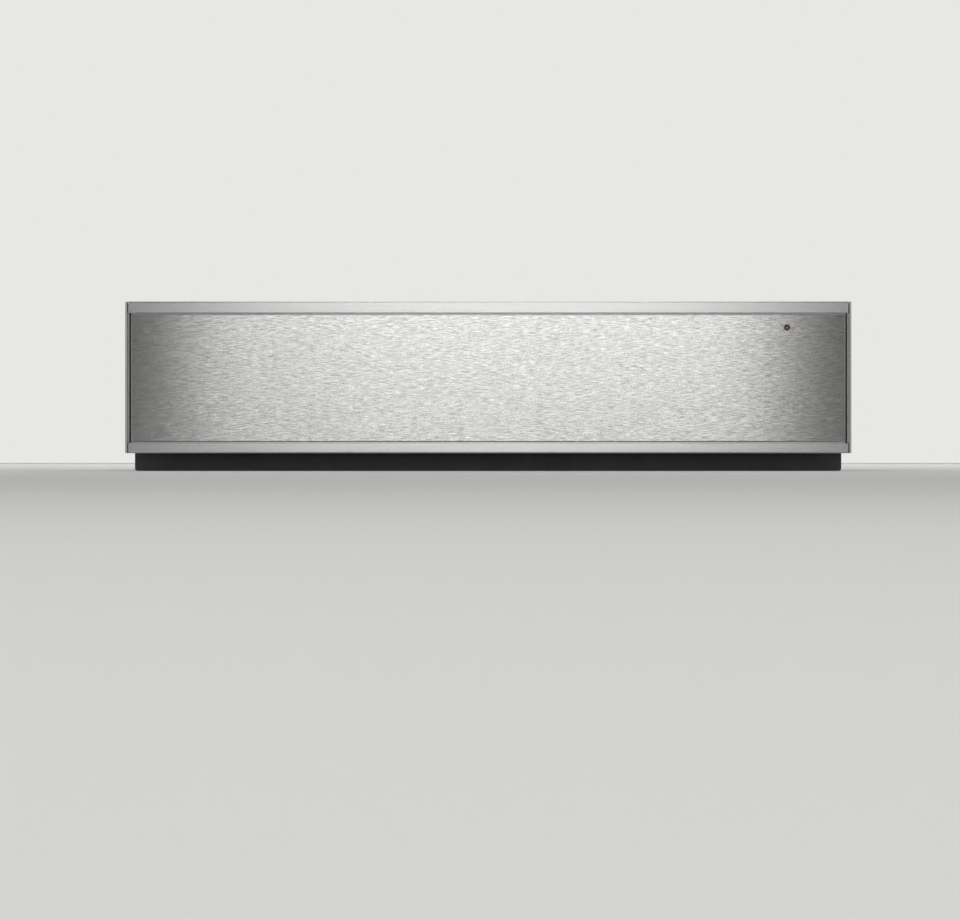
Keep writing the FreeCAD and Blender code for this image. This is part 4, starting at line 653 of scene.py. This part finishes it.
def ball_tree():
    """Row of balls along Y from each place."""
    tree = Grower("ball_rows", Radius="Float", Count="Int", Pitch="Float")
    line = tree.step("MeshLine", {"Count": tree["Count"], "Offset": tree.vector(y=tree["Pitch"])})
    ball = tree.step("MeshIcoSphere", {"Radius": tree["Radius"], "Subdivisions": 2})
    return tree.close(tree.step("InstanceOnPoints", {"Points": line, "Instance": ball}))


def lip_tree():
    """Pressed lips round a grid of rounded slots in an XZ plane, centred on each place."""
    tree = Grower("slot_lips", Columns="Int", Rows="Int", Width="Float", Height="Float", Slot_Length="Float",
                  Slot_Height="Float", Wire="Float")
    grid = tree.step("MeshGrid", {"Size X": tree["Width"], "Size Y": tree["Height"],
                                  "Vertices X": tree["Columns"], "Vertices Y": tree["Rows"]})
    length, height = tree["Slot Length"], tree["Slot Height"]
    slot = tree.step("CurvePrimitiveQuadrilateral", {"Width": length, "Height": height})
    small = tree.times(length, height, "MINIMUM")
    oval = tree.step("FilletCurve", {"Curve": slot, "Count": 5, "Radius": tree.times(small, 0.49)}, mode="POLY")
    wire = tree.step("CurvePrimitiveCircle", {"Resolution": 6, "Radius": tree["Wire"]})
    lip = tree.step("CurveToMesh", {"Curve": oval, "Profile Curve": wire})
    lips = tree.step("InstanceOnPoints", {"Points": grid, "Instance": lip})
    return tree.close(tree.step("Transform", {"Geometry": lips, "Rotation": (math.pi / 2, 0.0, 0.0)}))


def number_tree():
    """Numbers 0 to 4 round a dial, flat on an XY plane about each place."""
    tree = Grower("dial_numbers", Dial_Radius="Float", Size="Float", Thickness="Float")
    numbers = []
    for index, text in enumerate("01234"):
        letter = tree.step("StringToCurves", {"String": text, "Size": tree["Size"]},
                           align_x="CENTER", align_y="MIDDLE")
        flat = tree.step("RealizeInstances", {"Geometry": tree.step("FillCurve", {"Curve": letter})})
        thick = tree.step("ExtrudeMesh", {"Mesh": flat, "Individual": False, "Offset Scale": tree["Thickness"]},
                          mode="FACES")
        out = tree.step("Transform", {"Geometry": thick, "Translation": tree.vector(y=tree["Dial Radius"])})
        turn = (0.0, 0.0, -index * math.radians(60))
        numbers.append(tree.step("Transform", {"Geometry": out, "Rotation": turn}))
    return tree.close(tree.step("JoinGeometry", {0: numbers}))


# ---- Operators: one for each piece or group of like pieces ----

class DrawerOperator:
    """What every operator here shares."""
    bl_options = {"REGISTER", "UNDO"}

    def execute(self, context):
        self.make()
        return {"FINISHED"}


class WARMING_OT_finishes(DrawerOperator, bpy.types.Operator):
    """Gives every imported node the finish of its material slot"""
    bl_idname = "warming_drawer.finishes"
    bl_label = "Finish the CAD pieces"

    def make(self):
        for part in frame["record"]["subparts"]:
            slots = frame["nodes"][part["node"]].data.materials
            for index in range(len(slots)):
                slots[index] = finish(part["material_slot"])


class WARMING_OT_panel(DrawerOperator, bpy.types.Operator):
    """Brushed front panel: a shallow pan with rounded folded edges and a hole for the lamp"""
    bl_idname = "warming_drawer.panel"
    bl_label = "Front panel"

    def make(self):
        sheet = 1.5 * MM
        work = block(PANEL_LOW, PANEL_HIGH)
        front = settings().front
        face = PANEL_LOW.y + 1e-6
        sides = [edge for edge in work.edges
                 if all(end.co.y < face for end in edge.verts) and edge.verts[0].co.x == edge.verts[1].co.x]
        bevel(work, sides, front.panel_side, 8)
        folds = [edge for edge in work.edges
                 if abs(edge.verts[0].co.z - edge.verts[1].co.z) < 1e-6
                 and max(end.co.y for end in edge.verts) < face + front.panel_side]
        bevel(work, folds, front.panel_edge, 4)
        hollow = block(PANEL_LOW + Vector((sheet, sheet, sheet)), PANEL_HIGH - Vector((sheet, -sheet, sheet)))
        hole = turned("hole", [(0, -3), (2, -3), (2, 6), (0, 6)],
                      Vector((LAMP_MIDDLE.x, PANEL_LOW.y, LAMP_MIDDLE.z)), (0, 1, 0), steps=48)
        panel = cut_away(plain_mesh(work, "brushed_panel"), [plain_mesh(hollow), hole])
        piece("brushed_panel", panel, "drawer", "brushed_front", ["front_panel"])


class WARMING_OT_trims(DrawerOperator, bpy.types.Operator):
    """Aluminium strips and side profiles round the panel, with softened long edges"""
    bl_idname = "warming_drawer.trims"
    bl_label = "Front trims"

    def make(self):
        for up, word, height in ((1, "top", 9.4 * MM), (-1, "bottom", 8.2 * MM)):
            self.strip(f"front_{word}_strip", up, height)
        for side, word in ((-1, "left"), (1, "right")):
            self.side_profile(f"front_side_{word}", side)

    def show(self, name, profile, cuts):
        """One trim, with its cuts taken out."""
        tools = [plain_mesh(block(low, high)) for low, high in cuts]
        piece(name + "_trim", cut_away(profile, tools), "drawer", "satin_aluminium", [name])

    def strip(self, name, up, height):
        """Strip above or below the panel. A ledge behind the panel holds it."""
        low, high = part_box(name)
        outer, inner = (high.z, low.z) if up > 0 else (low.z, high.z)
        wall, far = 1.5 * MM, 0.3
        face, back, ledge = low.y, high.y, PANEL_HIGH.y
        end = outer - up * height
        section = [(back, outer), (face + 0.1 * MM, outer), (face, outer - up * MM), (face, end), (ledge, end),
                   (ledge, inner), (ledge + wall, inner), (ledge + wall, end + up * wall),
                   (face + wall, end + up * wall), (face + wall, outer - up * wall), (back, outer - up * wall)]
        profile = drawn_out(name, section, "X", low.x, high.x, settings().front.trim_edge, [3])
        z0, z1 = sorted((end - up * 0.01 * MM, inner - up * MM))
        self.show(name, profile, [((x0, ledge - MM, z0), (x1, ledge + 2 * wall, z1))
                                  for x0, x1 in ((-far, PANEL_LOW.x), (PANEL_HIGH.x, far))])

    def side_profile(self, name, side):
        """Profile at the side of the front, whose lip is narrow above and below the panel."""
        low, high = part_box(name)
        out = high.x if side > 0 else low.x
        lip, lip_short, wall, turn_in, corner = 3.7 * MM, 2.2 * MM, 1.8 * MM, 12 * MM, 2.2 * MM
        section = [(out, low.y), (out, high.y), (out - side * turn_in, high.y),
                   (out - side * turn_in, high.y - wall), (out - side * wall, high.y - wall),
                   (out - side * wall, low.y + wall), (out - side * lip, low.y + wall), (out - side * lip, low.y)]
        profile = drawn_out(name, section, "Z", low.z, high.z, corner, [0], 8)
        near = out - side * lip_short
        x0, x1 = sorted((near, near - side * 4 * MM))
        self.show(name, profile, [((x0, low.y - MM, z0), (x1, low.y + 2 * wall, z1)) for z0, z1 in (
            (low.z - MM, PANEL_LOW.z - MM), (PANEL_HIGH.z + MM, high.z + MM))])


class WARMING_OT_cover(DrawerOperator, bpy.types.Operator):
    """Top cover with four pressed beads that run out softly at their ends"""
    bl_idname = "warming_drawer.cover"
    bl_label = "Top cover"

    def make(self):
        low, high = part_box("casing_top_cover")
        reach, depth, from_end, count, steps = 6.5 * MM, 1.5 * MM, 69.5 * MM, 4, 7
        pitch = (high.x - low.x) / (count + 1)
        centres = [low.x + pitch * (index + 1) for index in range(count)]
        first, last = low.y + from_end + reach, high.y - from_end - reach
        across = [reach * step / steps for step in range(-steps, steps + 1)]
        xs = [low.x] + [centre + off for centre in centres for off in across] + [high.x]
        ys = [low.y] + [end + off for end in (first, last) for off in across] + [high.y]

        def depth_at(x, y):
            aside = min(abs(x - centre) for centre in centres)
            away = math.hypot(aside, max(first - y, y - last, 0.0))
            return depth * math.cos(math.pi / 2 * min(away / reach, 1.0)) ** 2

        sheet = pressed_sheet("beaded_cover", high, MM, xs, ys, depth_at)
        piece("beaded_cover", sheet, "casing", "galvanised_sheet", ["casing_top_cover"])


class WARMING_OT_lamp(DrawerOperator, bpy.types.Operator):
    """Indicator lamp: a rounded dark ring with a domed lens in it"""
    bl_idname = "warming_drawer.lamp"
    bl_label = "Indicator lamp"

    def make(self):
        centre = Vector((LAMP_MIDDLE.x, PANEL_LOW.y, LAMP_MIDDLE.z))
        lip, barrel, bore, mouth, proud = 2.5, 2.0, 1.6, 1.15, 0.2
        back = (BEZEL_HIGH.y - PANEL_LOW.y) / MM
        ring = [(bore, back), (bore, 0.06), (mouth + 0.05, 0.03), (mouth, -proud * 0.4),
                (mouth + 0.08, -proud * 0.85), (mouth + 0.25, -proud), (lip - 0.25, -proud),
                (lip - 0.07, -proud * 0.8), (lip, -proud * 0.3), (lip, 0.0), (barrel, 0.0), (barrel, back)]
        bezel = ringed("lamp_bezel", ring, centre, "Y", 64)
        piece("lamp_bezel", bezel, "drawer", "lamp_ring", ["indicator_bezel"])
        lens = [(0, -0.12), (0.5, -0.09), (0.95, 0.0), (1.3, 0.15), (1.55, 0.42), (1.57, 6.4), (0, 6.5)]
        dome = turned("lamp_dome", lens, centre, (0, 1, 0), steps=48, angle=50.0)
        piece("lamp_dome", dome, "drawer", "lamp_lens", ["indicator_lens"])


class WARMING_OT_well(DrawerOperator, bpy.types.Operator):
    """Pressed well: rolled mouth, rounded corners, a ledge for the glass"""
    bl_idname = "warming_drawer.well"
    bl_label = "Drawer well"

    def make(self):
        sheet, roll, foot = 0.8 * MM, 2.0 * MM, 0.8 * MM
        half, y0, y1 = 0.234, RIM_LOW.y + 12.5 * MM, RIM_HIGH.y - 38 * MM
        corner, ledge, ledge_corner, grille_frame = 20 * MM, 16 * MM, 6 * MM, 8 * MM
        top, low = RIM_HIGH.z, RIM_LOW.z

        def grown(grow, z):
            return rounded_loop(half + grow, y0 - grow, y1 + grow, corner + grow, z)

        def rim(shrink, z):
            return rounded_loop(RIM_HIGH.x - shrink, RIM_LOW.y + shrink, RIM_HIGH.y - shrink, 2 * MM, z)

        def opening(z):
            return rounded_loop(half - ledge, y0 + ledge, y1 - ledge, ledge_corner, z)

        loops = [rim(0.3 * MM, top), grown(roll + 0.2 * MM, top)]
        for step in range(1, 7):
            turn = math.radians(15 * step)
            loops.append(grown(roll - roll * math.sin(turn), top - roll + roll * math.cos(turn)))
        for step in range(4):
            turn = math.radians(30 * step)
            loops.append(grown(-foot + foot * math.cos(turn), low + sheet + foot - foot * math.sin(turn)))
        loops += [opening(low + sheet), opening(low), grown(-foot, low), grown(sheet * 0.7, low + sheet * 0.3),
                  grown(sheet, low + foot + sheet), grown(sheet, top - roll - sheet),
                  grown(roll + sheet, top - sheet), rim(0.1 * MM, top - sheet), rim(0, top - sheet * 0.7),
                  rim(0, top - sheet * 0.3)]
        inset = Vector((grille_frame, 0, grille_frame))
        air_low, air_high = GRILLE_LOW + inset, GRILLE_HIGH - inset
        air = block((air_low.x, y1 - 3 * MM, air_low.z), (air_high.x, y1 + 3 * MM, air_high.z))
        bevel(air, [edge for edge in air.edges if abs(edge.verts[0].co.y - edge.verts[1].co.y) > MM], 8 * MM, 5)
        dish = turned("dish_hole", [(0, -4), (11, -4), (11, 4), (0, 4)],
                      Vector((KNOB_MIDDLE.x, KNOB_MIDDLE.y, top)), (0, 0, 1))
        well = cut_away(swept("pressed_well", loops, 30.0), [plain_mesh(air), dish], 30.0)
        piece("pressed_well", well, "drawer", "stainless_well", ["drawer_well"])


class WARMING_OT_grille(DrawerOperator, bpy.types.Operator):
    """Pressed lips round the slots of the air grille and of the rear wall's vents"""
    bl_idname = "warming_drawer.grille"
    bl_label = "Slot lips"

    def make(self):
        middle = (GRILLE_LOW + GRILLE_HIGH) / 2
        labels = ("Columns", "Rows", "Width", "Height", "Slot Length", "Slot Height", "Wire")
        for name, place, body, slot, sizes in (
                ("grille_lips", (middle.x, GRILLE_LOW.y, middle.z), "drawer", "stainless_well",
                 (7, 5, 0.144, 0.038, 0.0185, 0.0045, 0.0004)),
                ("vent_lips", (-0.171, CASING_HIGH.y, 0.100), "casing", "galvanised_sheet",
                 (8, 1, 0.084, 0.0, 0.0046, 0.0246, 0.00045))):
            mesh = tree_once(lip_tree).grow(name, [place], slot, dict(zip(labels, sizes)), angle=50.0)
            piece(name, mesh, body, slot)


class WARMING_OT_knob(DrawerOperator, bpy.types.Operator):
    """Fluted selector knob with its numbers, and the index mark on the rim"""
    bl_idname = "warming_drawer.knob"
    bl_label = "Selector knob"

    def make(self):
        flutes, depth, plain, run = 8, 0.55, 6.9, 0.8
        low, top = KNOB_LOW.z, KNOB_HIGH.z
        centre = Vector((KNOB_MIDDLE.x, KNOB_MIDDLE.y, low))
        height, radius = (top - low) / MM, 8.0

        def fluted(reach, turn):
            if reach < plain:
                return reach
            wave = max(0.0, math.cos(flutes * turn)) ** 3
            return reach - depth * wave * min(1.0, (reach - plain) / run)

        profile = [(0, 0), (radius - 0.3, 0), (radius, 0.3), (radius, height - 0.9), (radius - 0.12, height - 0.45),
                   (radius - 0.42, height - 0.14), (radius - 0.9, height), (6.6, height), (6.5, height - 0.12),
                   (0, height - 0.12)]
        knob = turned("fluted_knob", profile, centre, (0, 0, 1), fluted, steps=160, angle=40.0)
        piece("fluted_knob", knob, "selector_knob", "knob_metal", ["selector_knob"])
        values = {"Dial Radius": 0.0046, "Size": 0.0028, "Thickness": 0.00006}
        places = [(centre.x, centre.y, top - 0.121 * MM)]
        numbers = tree_once(number_tree).grow("knob_numbers", places, "dial_print", values)
        piece("knob_numbers", numbers, "selector_knob", "black_plastic", look="dial_print")
        tip, half, thick, z = DISH_HIGH.y + 0.8 * MM, 1.3 * MM, 0.05 * MM, RIM_HIGH.z
        mark = [(centre.x, tip), (centre.x + half, tip + 2 * half), (centre.x - half, tip + 2 * half)]
        mark = drawn_out("index_mark", mark, "Z", z - thick, z + thick)
        piece("index_mark", mark, "drawer", "black_plastic", look="dial_print")


class WARMING_OT_dish(DrawerOperator, bpy.types.Operator):
    """Moulded dish round the knob, with a rolled lip"""
    bl_idname = "warming_drawer.dish"
    bl_label = "Knob dish"

    def make(self):
        centre = Vector((KNOB_MIDDLE.x, KNOB_MIDDLE.y, 0))
        lip, outer, inner, bush = 12.5, 11.0, 10.0, 4.5
        top, rim, floor = (z / MM for z in (DISH_HIGH.z, RIM_HIGH.z, DISH_LOW.z))
        profile = [(bush, floor), (outer, floor), (outer, rim), (lip - 0.1, rim), (lip, rim + 0.15),
                   (lip - 0.15, top - 0.1), (lip - 0.45, top), (inner + 0.5, top), (inner + 0.12, top - 0.15),
                   (inner, top - 0.5), (inner, floor + 1.6), (inner - 0.6, floor + 1), (bush, floor + 1)]
        dish = ringed("knob_dish", profile, centre, "Z", 72)
        piece("knob_dish", dish, "drawer", "black_plastic", ["control_dish"])


class WARMING_OT_balls(DrawerOperator, bpy.types.Operator):
    """Ball cages of the slides, with full rows of balls"""
    bl_idname = "warming_drawer.balls"
    bl_label = "Ball cages"

    def make(self):
        wall = 274.0                # inner face of the casing's side, which the slides are fixed to
        for row, half, *offs in (("outer", 19.85, 6.0, 1.5, 8.2), ("inner", 15.05, 7.5, 3.9, 9.7)):
            for side, word in ((-1, "left"), (1, "right")):
                self.cage(f"{row}_{word}", half * MM, side, *(side * (wall - off) * MM for off in offs))

    def cage(self, name, half, side, ball, web, tip):
        """One cage with its two rows of balls, at the X of the balls, of the cage's web and of its tips."""
        body = "ball_cage_" + name
        low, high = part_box(body)
        middle = (low + high) / 2
        thick = 0.4 * MM
        out, into = half + thick / 2, web - side * thick
        section = [(tip, -out), (web, -out), (web, out), (tip, out), (tip, out - thick), (into, out - thick),
                   (into, thick - out), (tip, thick - out)]
        strip = drawn_out("cage", [(x, middle.z + z) for x, z in section], "Y", low.y, high.y)
        piece("cage_" + name, strip, body, "ball_cage_steel", [body])
        sizes = settings().slides
        first = middle.y - sizes.ball_pitch * (sizes.ball_count - 1) / 2
        values = {"Radius": sizes.ball_radius, "Count": sizes.ball_count, "Pitch": sizes.ball_pitch}
        starts = [(ball, first, middle.z + z) for z in (-half, half)]
        balls = tree_once(ball_tree).grow("balls_" + name, starts, "ball_steel", values, angle=80.0)
        piece("balls_" + name, balls, body, "ball_cage_steel", look="ball_steel")


class WARMING_OT_screws(DrawerOperator, bpy.types.Operator):
    """Cross-recessed screw heads on the casing, the slides and the drawer"""
    bl_idname = "warming_drawer.screws"
    bl_label = "Screws"

    def make(self):
        wall, slide, sides = CASING_HIGH.x, 0.2625, (-1, 1)
        y = CASING_LOW.y + 6 * MM
        self.heads("flange_screws", "casing", 1.0,
                   [((side * wall, y, z), (side, 0, 0)) for side in sides for z in (0.019, 0.117)],
                   ["casing_screws"])
        self.heads("casing_side_screws", "casing", 0.85, [
            *(((side * wall, y, 0.060), (side, 0, 0)) for side in sides for y in (-0.208, -0.06, 0.09, 0.232)),
            *(((side * (wall - 6 * MM), y, CASING_HIGH.z + MM), (0, 0, 1))
              for side in sides for y in (-0.20, 0.02, 0.24))])
        self.heads("rear_screws", "casing", 0.85,
                   [((x, CASING_HIGH.y, z), (0, 1, 0)) for x in (-0.262, -0.06, 0.10, 0.262) for z in (0.010, 0.128)])
        self.heads("drawer_slide_screws", "drawer", 0.9,
                   [((side * slide, y, 0.060), (side, 0, 0)) for side in sides for y in (-0.205, -0.05, 0.08, 0.205)])
        self.heads("front_fixing_screws", "drawer", 1.0,
                   [((x, RIM_LOW.y + MM, z), (0, 1, 0)) for x in (-0.2, 0.2) for z in (0.040, 0.100)],
                   ["front_screws"])

    def heads(self, name, body, scale, seats, stands_for=()):
        """Screw heads on their seats, each a place and the way it faces, as one piece of that body."""
        sizes = settings().screws
        values = {label: size * scale for label, size in (
            ("Head Radius", sizes.head_radius), ("Head Height", sizes.head_height),
            ("Recess Length", sizes.recess_length), ("Recess Width", sizes.recess_width))}
        places, facing = zip(*seats)
        mesh = tree_once(screw_tree).grow(name, places, "screw_steel", values, facing, 25.0)
        piece(name, mesh, body, "screw_steel", stands_for)


class WARMING_OT_stage(DrawerOperator, bpy.types.Operator):
    """Pale floor and walls, soft lights and the camera"""
    bl_idname = "warming_drawer.stage"
    bl_label = "Stage, lights and camera"

    def make(self):
        stage = settings().stage
        self.surfaces(stage.floor)
        self.lights()
        camera = bpy.data.cameras.new("camera")
        camera.lens = stage.lens
        camera.sensor_width = 36.0
        camera.clip_start = 0.01
        holder = put("camera", camera)
        aside = -6.7 * MM
        holder.location = (aside, PANEL_LOW.y - stage.distance, stage.eye_height)
        holder.rotation_euler = (math.pi / 2, 0, 0)
        bpy.context.scene.camera = holder
        bpy.context.scene.view_settings.view_transform = "Standard"

    def surfaces(self, colour):
        """Floor and four walls, far enough off for any view, a plain sky, and a black card that gloss alone sees."""
        floor = Finish("studio_floor", colour, 0.0, 0.9, {"Specular IOR Level": 0.1})
        floor.tint(floor.noise(0.4, 2.0), 0.985, 1.0)
        floor.clear_from_behind()
        far, side, back, front, top = 12.0, 6.0, 6.0, -9.5, 4.0
        self.show("floor", [(-far, -far, 0), (far, -far, 0), (far, far, 0), (-far, far, 0)], floor.material)
        wall = bpy.data.materials.new("studio_wall")
        wall.use_nodes = True
        self.backdrop(wall.node_tree, "BsdfDiffuse", "Emission", "OutputMaterial", colour)
        ends = [(-side, back), (side, back), (side, front), (-side, front), (-side, back)]
        for name, (x0, y0), (x1, y1) in zip(("back", "right", "front", "left"), ends, ends[1:]):
            self.show("wall_" + name, [(x0, y0, 0), (x1, y1, 0), (x1, y1, top), (x0, y0, top)], wall)
        world = bpy.context.scene.world or bpy.data.worlds.new("world")
        bpy.context.scene.world = world
        world.use_nodes = True
        self.backdrop(world.node_tree, "Background", "Background", "OutputWorld", colour, 0.035)
        black = Finish("black_card", (0.0, 0.0, 0.0), 0.0, 1.0, {"Specular IOR Level": 0.0})
        x, y, z = 3.0, -4.65, 3.9
        card = self.show("card", [(x, y, 0), (-x, y, 0), (-x, y, z), (x, y, z)], black.material)
        card.visible_camera = card.visible_diffuse = card.visible_shadow = False

    def show(self, name, corners, material):
        """One flat surface of the stage."""
        mesh = mesh_of(name, corners, [(0, 1, 2, 3)])
        mesh.materials.append(material)
        made = put(name, mesh)
        return made

    def backdrop(self, tree, lit_kind, plain_kind, out_kind, colour, ambient=None):
        """Surface or sky that has its plain colour to the camera, in gloss and through glass."""
        tree.nodes.clear()
        rays = add_node(tree, "ShaderNodeLightPath").outputs
        seen = rays["Is Camera Ray"]
        for other in ("Is Glossy Ray", "Is Transmission Ray"):
            seen = add_node(tree, "ShaderNodeMath", {0: seen, 1: rays[other]}, operation="MAXIMUM").outputs[0]
        shades = {"Color": (*colour, 1.0)}
        lit = add_node(tree, "ShaderNode" + lit_kind, shades if ambient is None else {**shades, "Strength": ambient})
        plain = add_node(tree, "ShaderNode" + plain_kind, shades)
        mix = add_node(tree, "ShaderNodeMixShader", {0: seen, 1: lit.outputs[0], 2: plain.outputs[0]})
        add_node(tree, "ShaderNode" + out_kind, {"Surface": mix.outputs[0]})

    def lights(self):
        """Large soft lights. The key and its core stand behind the camera, and the panel mirrors them."""
        for name, place, aim, size, brightness, in_gloss in (
                ("key", (0.013, -4.6, 0.75), (0.013, 0.0, 0.75), (1.348, 1.30), 0.615, True),
                ("core", (0.165, -4.5, 0.75), (0.165, 0.0, 0.75), (0.97, 1.26), 0.12, True),
                ("front", (0.0, -2.8, 1.5), (0.0, -2.8, 0.0), (4.5, 1.0), 0.5, False),
                ("distance", (0.0, -6.6, 3.0), (0.0, -6.6, 0.0), (12.0, 6.0), 0.6, False)):
            self.softbox(name, place, aim, size, brightness, 90, in_gloss)
        for name, place, aim, size in (("ceiling", (0.0, 1.9, 3.4), (0.0, 1.9, 0.0), (6.0, 5.6)),
                                       ("left", (-3.2, 1.0, 1.5), (0.0, 0.1, 0.1), (2.8, 2.2)),
                                       ("right", (3.2, 1.0, 1.5), (0.0, 0.1, 0.1), (2.8, 2.2)),
                                       ("back", (0.0, 3.4, 1.6), (0.0, 0.2, 0.1), (3.6, 2.2))):
            self.softbox(name, place, aim, size, 0.35, 180, True)
            self.softbox(name + "_fill", Vector(place) * 1.05, aim, size, 0.35, 180, False)
        self.softbox("sky", (0.0, 1.6, 3.9), (0.0, 1.6, 0.0), (12.0, 8.6), 0.30, 180, False)

    def softbox(self, name, place, aim, size, brightness, spread, in_gloss):
        """One rectangular light, aimed at a point. With a spread of 180 degrees, a brightness of 1 looks white."""
        lamp = bpy.data.lights.new(name, "AREA")
        lamp.shape = "RECTANGLE"
        lamp.size, lamp.size_y = size
        lamp.energy = brightness * math.pi * size[0] * size[1]
        lamp.spread = math.radians(spread)
        holder = put(name, lamp)
        holder.location = place
        holder.rotation_euler = (Vector(aim) - Vector(place)).to_track_quat("-Z", "Y").to_euler()
        holder.visible_camera = False
        holder.visible_glossy = in_gloss


OPERATORS = (WARMING_OT_finishes, WARMING_OT_panel, WARMING_OT_trims, WARMING_OT_cover, WARMING_OT_lamp,
             WARMING_OT_well, WARMING_OT_grille, WARMING_OT_knob, WARMING_OT_dish, WARMING_OT_balls,
             WARMING_OT_screws, WARMING_OT_stage)


class WARMING_PT_panel(bpy.types.Panel):
    """Settings and steps of the warming drawer"""
    bl_idname = "WARMING_PT_panel"
    bl_label = "Warming drawer"
    bl_space_type = "VIEW_3D"
    bl_region_type = "UI"
    bl_category = "Warming Drawer"

    def draw(self, context):
        layout = self.layout
        groups = context.scene.warming_drawer
        for group in (groups.front, groups.screws, groups.slides, groups.stage):
            box = layout.box()
            for key in group.__annotations__:
                box.prop(group, key)
        for operator in OPERATORS:
            layout.operator(operator.bl_idname, text=operator.bl_label)


CLASSES = (FrontSettings, ScrewSettings, SlideSettings, StageSettings, WarmingDrawerSettings,
           *OPERATORS, WARMING_PT_panel)


def register():
    """Adds the classes and the scene's settings."""
    for item in CLASSES:
        bpy.utils.register_class(item)
    bpy.types.Scene.warming_drawer = bpy.props.PointerProperty(
        type=WarmingDrawerSettings, name="Warming drawer", description="Settings of the warming drawer")


def unregister():
    """Takes them away again."""
    del bpy.types.Scene.warming_drawer
    for item in reversed(CLASSES):
        bpy.utils.unregister_class(item)


def main():
    register()
    for operator in OPERATORS:
        group, name = operator.bl_idname.split(".")
        getattr(getattr(bpy.ops, group), name)()
    bpy.context.view_layer.update()


if __name__ == "__main__":
    main()
